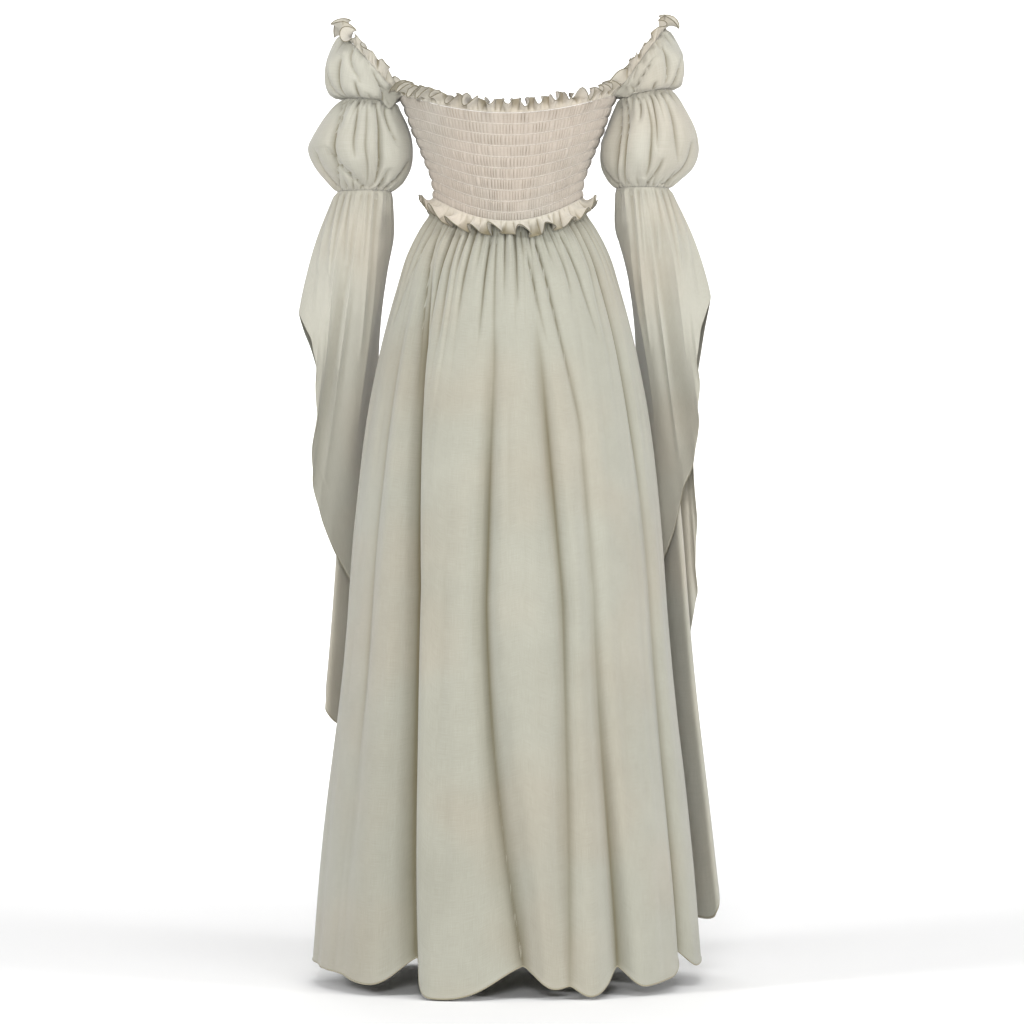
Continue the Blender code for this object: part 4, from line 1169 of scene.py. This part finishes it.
class Nodes:
    """Short ways to add and join the nodes of one material."""

    def __init__(self, name):
        self.material = bpy.data.materials.new(name)
        self.material.use_nodes = True
        self.tree = self.material.node_tree
        self.shader = self.tree.nodes["Principled BSDF"]

    def add(self, kind, inputs=None, **settings):
        """A node with its settings and its inputs, each a value or another node's output."""
        made = self.tree.nodes.new("ShaderNode" + kind)
        for key, value in settings.items():
            setattr(made, key, value)
        for key, value in (inputs or {}).items():
            self.lead(value, made.inputs[key])
        return made

    def lead(self, value, socket):
        """Set an input to a value, or join another node's output to it."""
        if isinstance(value, bpy.types.NodeSocket):
            self.tree.links.new(value, socket)
        else:
            socket.default_value = value

    def math(self, operation, first, second=0.0):
        """The result of one sum on two numbers."""
        return self.add("Math", {0: first, 1: second}, operation=operation).outputs[0]

    def noise(self, vector, scale=1.0, detail=2.0, roughness=0.5):
        """Smooth noise from 0 to 1."""
        made = self.add("TexNoise", {"Vector": vector, "Scale": scale, "Detail": detail,
                                     "Roughness": roughness})
        return made.outputs["Fac"]

    def stretched(self, vector, across, along):
        """Coordinates in metres times two scales."""
        made = self.add("Mapping", {"Vector": vector, "Scale": (across, along, 1.0)})
        return made.outputs["Vector"]

    def weighted(self, *patterns):
        """A sum of patterns, each times its weight."""
        total, *rest = (self.math("MULTIPLY", value, weight) for value, weight in patterns)
        for value in rest:
            total = self.math("ADD", total, value)
        return total

    def smooth(self, value, low, high):
        """A smooth step from 0 at the low value to 1 at the high one."""
        return self.add("MapRange", {"Value": value, "From Min": low, "From Max": high},
                        interpolation_type="SMOOTHSTEP").outputs["Result"]

    def mixed(self, share, first, second, **settings):
        """A share of the second colour in the first."""
        made = self.add("MixRGB", {"Fac": share, "Color1": first, "Color2": second}, **settings)
        return made.outputs["Color"]

    def ramp(self, value, low, low_colour, high, high_colour):
        """One colour up to the low value, another from the high value on, a blend between."""
        made = self.add("ValToRGB", {"Fac": value})
        ends = ((low, low_colour), (high, high_colour))
        for element, (position, colour) in zip(made.color_ramp.elements, ends):
            element.position = position
            element.color = (*colour, 1.0)
        return made.outputs["Color"]

    def finish(self, colour, height, roughness, relief=1.0):
        """Lead colour, roughness and a height in millimetres, times a relief, to the shader."""
        bump = self.add("Bump", {"Height": height, "Distance": relief * MM, "Strength": 1.0})
        self.lead(colour, self.shader.inputs["Base Color"])
        self.lead(roughness, self.shader.inputs["Roughness"])
        self.lead(bump.outputs["Normal"], self.shader.inputs["Normal"])


def woven_cloth(name, hem_colour, elastic_pitch=None):
    """Plain-woven soft cotton: threads, slubs both ways, faint clouding, crinkles, darker hems.

    The weave is the product of two sines. Weave, slubs and clouds add up to the tone between shade
    and light; weave, slubs and crinkles add up to the height. Shade is painted into creases, darker
    and yellower where the outside bends inwards. An elastic pitch adds the light, raised lines that
    rows of elastic make across the cloth.
    """
    light, shade = COLOURS[name]
    made = Nodes(name)
    flat = made.add("UVMap", uv_map="cloth").outputs["UV"]
    place = made.add("TexCoord").outputs["Object"]
    parts = made.add("SeparateXYZ", {"Vector": flat})
    turns = 2 * np.pi / (THREAD * MM)
    warp = made.math("SINE", made.math("MULTIPLY", parts.outputs["X"], turns))
    weft = made.math("SINE", made.math("MULTIPLY", parts.outputs["Y"], turns))
    weave = made.math("MULTIPLY", warp, weft)
    slub_warp = made.noise(made.stretched(flat, SLUB_ACROSS, SLUB_ALONG), detail=3.0)
    slub_weft = made.noise(made.stretched(flat, SLUB_ALONG, SLUB_ACROSS), detail=3.0)
    slub = made.math("ADD", slub_warp, slub_weft)
    cloud = made.noise(place, CLOUD_SCALE, detail=4.0, roughness=0.6)
    crinkles = made.noise(made.stretched(flat, CRINKLE_ACROSS, CRINKLE_ALONG), detail=5.0,
                          roughness=0.55)
    tone = made.weighted((slub, SLUB_TONE), (cloud, CLOUD_TONE), (weave, WEAVE_TONE))
    plain = made.ramp(tone, SHADE_TONE, shade, LIGHT_TONE, light)
    warm = made.smooth(made.noise(place, WARM_SCALE), WARM_FROM, WARM_TO)
    crease = made.add("Attribute", attribute_name="crease").outputs["Fac"]
    edge = made.add("Attribute", attribute_name="edge").outputs["Fac"]
    colour = made.mixed(warm, plain, WARM_TINT, blend_type="MULTIPLY")
    # painted shade: darker and yellower where the outside bends into a crease
    colour = made.mixed(crease, colour, PAINTED_CREASE_SHADE, blend_type="MULTIPLY")
    colour = made.mixed(edge, colour, (*hem_colour, 1.0))
    height = made.weighted((weave, WEAVE_RELIEF), (slub, SLUB_RELIEF), (crinkles, CRINKLE_RELIEF))
    if elastic_pitch:
        rows = made.math("DIVIDE", parts.outputs["Y"], elastic_pitch)
        off = made.math("MULTIPLY", made.math("PINGPONG", rows, 0.5), elastic_pitch / MM)
        line = made.smooth(off, ELASTIC_LINE, ELASTIC_CORE * ELASTIC_LINE)
        lighter = (*[ELASTIC_GAIN * value for value in light], 1.0)
        colour = made.mixed(made.math("MULTIPLY", line, ELASTIC_LIGHT), colour, lighter)
        height = made.math("ADD", height, made.math("MULTIPLY", line, ELASTIC_RELIEF))
    rough = made.math("ADD", made.math("MULTIPLY", slub, SLUB_ROUGHNESS), PLAIN_ROUGHNESS)
    made.finish(colour, height, rough)
    made.shader.inputs["Sheen Weight"].default_value = SHEEN
    made.shader.inputs["Sheen Roughness"].default_value = SHEEN_ROUGHNESS
    made.shader.inputs["Specular IOR Level"].default_value = SPECULAR
    return made.material


def sewing_thread(name, colour):
    """Twisted cotton thread: fine plies, from one noise, in colour and height."""
    made = Nodes(name)
    place = made.add("TexCoord").outputs["Object"]
    plies = made.noise(made.stretched(place, PLY_SCALE, PLY_SCALE))
    tone = made.ramp(plies, 0.0, [value * PLY_SHADE for value in colour], 1.0, colour)
    made.finish(tone, plies, STITCH_ROUGHNESS, PLY_RELIEF)
    return made.material


# ---------------------------------------------------------------- pieces

def skirt_half(half, material):
    """A skirt panel in its folds, with a rolled hem."""
    down_rows, roll, edge = hem_rows(SKIRT_ROWS, HEM_WIDTH / WAIST_MIDDLE, SKIRT_ROW_POWER)
    down, angle = np.meshgrid(down_rows, half_angles(half, SKIRT_COLUMNS), indexing="ij")
    outer = skirt_surface(angle, down)
    inner = inside_of(outer, False, outer * (-1, -1, 0), INNER_STEP)
    outward = normals(outer, False)
    if np.sum(outward * outer * (1, 1, 0)) < 0:
        outward = -outward
    outer = outer + outward * (HEM_ROLL * roll)[:, None, None]
    level_rims(outer, inner)
    set_side_seams(half, outer, inner)
    piece = cloth_wall("skirt_" + half + "_cloth", outer, inner, False, SKIRT_CUT, down_rows, edge,
                       material)
    return finished(piece, "skirt_" + half)


def bodice_half(half, material, thread):
    """A shirred bodice panel with its elastic rows and their stitching."""
    columns, rows = PUCKERS * PUCKER_COLUMNS, SHIRR_BANDS * PUCKER_ROWS
    places = np.linspace(0, 1, rows + 1)
    share, angle = np.meshgrid(places, half_angles(half, columns), indexing="ij")
    across = np.linspace(0, 1, columns + 1)[None, :]
    outer, away = bodice_surface(angle, share)
    outer = outer + away * shirring(across, share, BODICE_SEEDS[half])[..., None]
    inner = outer - away * CLOTH
    set_side_seams(half, outer, inner)
    piece = cloth_wall("bodice_" + half + "_cloth", outer, inner, False, BODICE_CUT, 1 - places,
                       np.zeros(rows + 1), material)
    sewing = elastic_stitches(half, thread)
    sewing.parent = piece
    return finished(piece, "bodice_" + half)


def stitch_shapes(centres, along, outward, length, thick):
    """Small tapered stitches: three square rings each, thin at the ends, joined as one mesh."""
    side = np.cross(along, outward)
    reach = np.array([-0.5, 0.0, 0.5])
    girth = np.array([STITCH_TAPER, 1.0, STITCH_TAPER]) * thick / 2
    spin = np.radians([45, 135, 225, 315])
    ring = (np.cos(spin)[:, None, None] * side[None] + np.sin(spin)[:, None, None] * outward[None])
    verts = (centres[None, None] + along[None, None] * (reach * length)[:, None, None, None]
             + ring[None] * girth[:, None, None, None])
    verts = verts.transpose(2, 0, 1, 3).reshape(-1, 3)
    corners = len(spin)
    here = np.arange(corners)
    after = (here + 1) % corners
    wall = np.stack([here, after, after + corners, here + corners], 1)
    last = here + 2 * corners
    faces = np.concatenate([wall, wall + corners, [here[::-1], last]])
    first = np.arange(len(centres)) * len(reach) * corners
    ids = (first[:, None, None] + faces[None]).reshape(-1)
    return verts, ids, np.full(len(centres) * len(faces), 4)


def elastic_stitches(half, thread):
    """Stitches along the elastic rows inside a bodice panel's edges, one over each pucker."""
    share, across = np.meshgrid(np.arange(1, SHIRR_BANDS) / SHIRR_BANDS,
                                (np.arange(PUCKERS) + 0.5) / PUCKERS, indexing="ij")
    angle = HALF_STARTS[half] + 180.0 * across
    centre, away = bodice_surface(angle, share)
    ahead, _ = bodice_surface(angle + STITCH_STEP, share)
    along = (ahead - centre).reshape(-1, 3)
    along /= np.linalg.norm(along, axis=1, keepdims=True)
    stand = shirring(across, share, BODICE_SEEDS[half]) + STITCH_STAND
    centre = (centre + away * stand[..., None]).reshape(-1, 3)
    verts, ids, sizes = stitch_shapes(centre, along, away.reshape(-1, 3), STITCH_LENGTH,
                                      STITCH_THICK)
    verts = (verts - (0, 0, CHEST_HEIGHT)) * MM
    return mesh_object("bodice_" + half + "_stitches", verts, ids, sizes, thread)


def ruffle(node, foot, out, upward, length, waves, lean, swing, seed, flat, material,
           least=-90.0, half=None, trim=1.0):
    """A gathered strip that leans off upright by an angle times the root of the way to its edge.

    The angle is a resting lean and a swing, which goes as a cosine of the place along the strip
    and of twice that, unevenly spaced and sized. The strip also slides along itself by the sine of
    twice the place, so that its waves fold back on themselves; small gathers fade from its foot.
    """
    share = np.linspace(0, 1, foot.shape[0])

    def stray(what):
        """How far one thing strays along the strip, from a line of the seeded unevenness."""
        amount, cells, after = RUFFLE_STRAYS[what]
        return amount * uneven(share * waves * cells, BETWEEN_ROWS, seed + after)

    up_rows, roll, edge = hem_rows(RUFFLE_ROWS, RUFFLE_HEM / length)
    up = up_rows[:, None]
    turn = 2 * np.pi * waves * share + stray("place")
    size = 1 + stray("swing")
    wave = np.cos(turn) + SECOND_WAVE * np.cos(2 * turn + SECOND_PHASE + stray("second wave"))
    rest = lean + stray("lean")
    angle = np.radians(np.clip(rest + swing * size * wave, least, RUFFLE_MOST_LEAN))
    reach = length * trim * (1 + stray("length")) * up
    bend = angle * np.sqrt(up)
    along = np.gradient(foot, axis=0)
    steps = np.linalg.norm(along, axis=1, keepdims=True)
    slide = RUFFLE_SLIDE * np.sum(steps) / waves * size * np.sin(2 * turn) * up ** SLIDE_POWER
    pinch = RUFFLE_PINCH * gathers(share, waves * PINCHES, seed + 2)
    pinch = pinch * (1 - PINCH_FADE * up) * np.minimum(up * PINCH_ONSET, 1)
    outer = (foot + points(0, 0, upward * reach * np.cos(bend))
             + out * (reach * np.sin(bend) + pinch)[..., None]
             + along / steps * slide[..., None])
    inner = inside_of(outer, False, -out * np.ones((len(up), 1, 1)), 1)
    level_rims(outer, inner)
    swelled = RUFFLE_ROLL * (outer - inner) * roll[:, None, None]
    outer, inner = outer + swelled, inner - swelled
    if half:
        set_side_seams(half, outer, inner)
    piece = cloth_wall(node + "_cloth", outer, inner, False, flat, up_rows, edge, material)
    return finished(piece, node)


def neck_ruffle(half, material):
    """The heading above the top elastic: it stands up and leans out a little."""
    waves = NECK_WAVES[half]
    columns = waves * WAVE_COLUMNS
    angle = half_angles(half, columns) + np.linspace(1, -1, columns + 1) * NECK_RUFFLE_END
    foot, away = bodice_surface(angle, np.ones_like(angle))
    foot = foot - away * NECK_RUFFLE_INSET
    foot[:, 2] += SEAM_GAP
    return ruffle("neck_ruffle_" + half, foot, away, 1, NECK_RUFFLE, waves, NECK_LEAN, NECK_SWING,
                  NECK_SEEDS[half], NECK_RUFFLE_CUT, material)


def waist_ruffle(half, material):
    """The heading below the lowest elastic: it falls over the top of the skirt and stands off."""
    columns = WAIST_WAVES * WIDE_WAVE_COLUMNS
    angle = half_angles(half, columns)
    foot, away = bodice_surface(angle, np.zeros_like(angle))
    foot = foot + away * (SHIRR_PUFF + CLOTH + SEAM_GAP)
    foot[:, 2] += WAIST_RUFFLE_LIFT
    beside = np.abs(np.sin(np.radians(angle))) ** WAIST_SIDE_POWER
    lean = WAIST_LEAN + WAIST_SIDE_LEAN * beside
    return ruffle("waist_ruffle_" + half, foot, away, -1, WAIST_RUFFLE, WAIST_WAVES, lean,
                  WAIST_SWING, WAIST_SEEDS[half], WAIST_RUFFLE_CUT, material,
                  least=WAIST_LEAST_LEAN, half=half, trim=1 - WAIST_SIDE_TRIM * beside)


def sleeve_ruffle(side, material):
    """The heading on the neck edge of an upper puff, round the outside of the arm."""
    columns = SLEEVE_WAVES * WIDE_WAVE_COLUMNS
    turn = np.radians(np.linspace(-SLEEVE_RUFFLE_SWEEP, SLEEVE_RUFFLE_SWEEP, columns + 1))
    out, front, height = upper_loop(side, turn)
    foot = sleeve_points(side, out, front, height + SEAM_GAP * 2)
    across = sleeve_points(side, np.cos(turn), -np.sin(turn), np.zeros_like(turn))
    return ruffle("sleeve_ruffle_" + side, foot, across, 1, SLEEVE_RUFFLE, SLEEVE_WAVES,
                  SLEEVE_LEAN, SLEEVE_SWING, SLEEVE_SEEDS[side], SLEEVE_RUFFLE_CUT, material)


def puff(node, surface, side, places, cut_places, level_rows, cut, material):
    """A closed puff between two elastics: its wall and sheet, from its surface function.

    Places are its rows from the end where it is worked out; cut places say where they lie down
    the flat cut.
    """
    along, turn = np.meshgrid(places, round_angles(PUFF_COLUMNS), indexing="ij")
    outer = surface(side, turn, along)
    inner = inside_of(outer, True, to_middle(outer), INNER_STEP)
    level_rims(outer, inner, level_rows)
    piece = cloth_wall(node + "_cloth", outer, inner, True, cut, cut_places,
                       np.zeros(len(places)), material)
    return finished(piece, node)


def upper_puff(side, material):
    """The small puff that sits off the shoulder."""
    up = np.linspace(0, 1, UPPER_ROWS + 1)
    return puff("upper_puff_" + side, upper_puff_surface, side, up, 1 - up, (0,),
                UPPER_PUFF_CUT, material)


def lower_puff(side, material):
    """The large puff between the two arm elastics."""
    down = np.linspace(0, 1, LOWER_ROWS + 1)
    return puff("lower_puff_" + side, lower_puff_surface, side, down, down, (0, -1),
                LOWER_PUFF_CUT, material)


def bell_sleeve(side, material):
    """The long trumpet sleeve below the elbow elastic, with a rolled hem."""
    down_rows, roll, edge = hem_rows(BELL_ROWS, BELL_HEM_SHARE)
    share = np.linspace(0, 1, BELL_COLUMNS + 1)[:-1]
    down, share = np.meshgrid(down_rows, share, indexing="ij")
    outer = bell_surface(side, share, down)
    inner = inside_of(outer, True, to_middle(outer), INNER_STEP)
    level_rims(outer, inner)
    outward = normals(outer, True) * -SIDES[side]
    outer = outer + outward * (HEM_ROLL * roll)[:, None, None]
    cut, area = BELL_CUTS[side]
    piece = cloth_wall("bell_sleeve_" + side + "_cloth", outer, inner, True, cut, down_rows,
                       edge, material)
    return finished(piece, "bell_sleeve_" + side)


# ---------------------------------------------------------------- studio

def backdrop():
    """A pale floor that sweeps up into a wall: a line, a quarter circle and a line, carried across."""
    floor_height = cad_box[0][2] - FLOOR_DROP
    turn = np.linspace(0, np.pi / 2, WALL_BEND_STEPS + 1)
    y = np.concatenate([[-FLOOR_REACH], WALL_START + WALL_BEND * np.sin(turn),
                        [WALL_START + WALL_BEND]])
    z = floor_height + np.concatenate([[0.0], WALL_BEND * (1 - np.cos(turn)), [WALL_HEIGHT]])
    x = np.array([-FLOOR_HALF_WIDTH, FLOOR_HALF_WIDTH])
    verts = points(x[None, :], y[:, None], z[:, None]).reshape(-1, 3)
    row, column = cell_corners(len(y), 2)
    material = bpy.data.materials.new("studio_paper")
    material.use_nodes = True
    shader = material.node_tree.nodes["Principled BSDF"]
    shader.inputs["Base Color"].default_value = (PAPER_GREY, PAPER_GREY, PAPER_GREY, 1.0)
    shader.inputs["Roughness"].default_value = PAPER_ROUGHNESS
    piece = mesh_object("studio_floor", verts, (row * 2 + column).ravel(),
                        np.full(len(row), 4), material)


def area_light(name, place, aim, size, power):
    """A soft square light that points at its aim."""
    light = bpy.data.lights.new(name, "AREA")
    light.shape = "SQUARE"
    light.size = size
    light.energy = power
    lamp = bpy.data.objects.new(name, light)
    lamp.location = place
    lamp.rotation_euler = (Vector(aim) - Vector(place)).to_track_quat("-Z", "Y").to_euler()
    bpy.context.scene.collection.objects.link(lamp)


def studio():
    """Floor, soft lights, pale surround and the camera behind the dress."""
    backdrop()
    for name, (place, aim, size, power) in LIGHTS.items():
        area_light(name, place, aim, size, power)
    world = bpy.data.worlds.new("studio_surround")
    world.use_nodes = True
    background = world.node_tree.nodes["Background"]
    background.inputs["Color"].default_value = (1.0, 1.0, 1.0, 1.0)
    background.inputs["Strength"].default_value = SURROUND_STRENGTH
    bpy.context.scene.world = world
    camera = bpy.data.cameras.new("camera")
    camera.sensor_width = SENSOR_WIDTH
    camera.lens = camera.sensor_width * CAMERA_DISTANCE / FRAME_WIDTH
    view = bpy.data.objects.new("camera", camera)
    view.location = (CAMERA_SIDE, -CAMERA_DISTANCE, CAMERA_HEIGHT)
    view.rotation_euler = (np.pi / 2, 0, 0)
    bpy.context.scene.collection.objects.link(view)
    bpy.context.scene.camera = view
    bpy.context.scene.view_settings.view_transform = "Standard"


def dress():
    """Every piece of the dress over its solid."""
    bodice_cloth = woven_cloth("bodice_cotton", HEM_COLOUR, BODICE_CUT[1] / SHIRR_BANDS)
    ruffle_cloth = woven_cloth("ruffle_cotton", RUFFLE_EDGE_COLOUR)
    sleeve_cloth = woven_cloth("sleeve_cotton", HEM_COLOUR)
    skirt_cloth = woven_cloth("skirt_cotton", HEM_COLOUR)
    thread = sewing_thread("elastic_thread", STITCH_COLOUR)
    for half in ("back", "front"):
        bodice_half(half, bodice_cloth, thread)
        neck_ruffle(half, ruffle_cloth)
        waist_ruffle(half, ruffle_cloth)
        skirt_half(half, skirt_cloth)
    for side in SIDES:
        upper_puff(side, sleeve_cloth)
        sleeve_ruffle(side, ruffle_cloth)
        lower_puff(side, sleeve_cloth)
        bell_sleeve(side, sleeve_cloth)


dress()
studio()
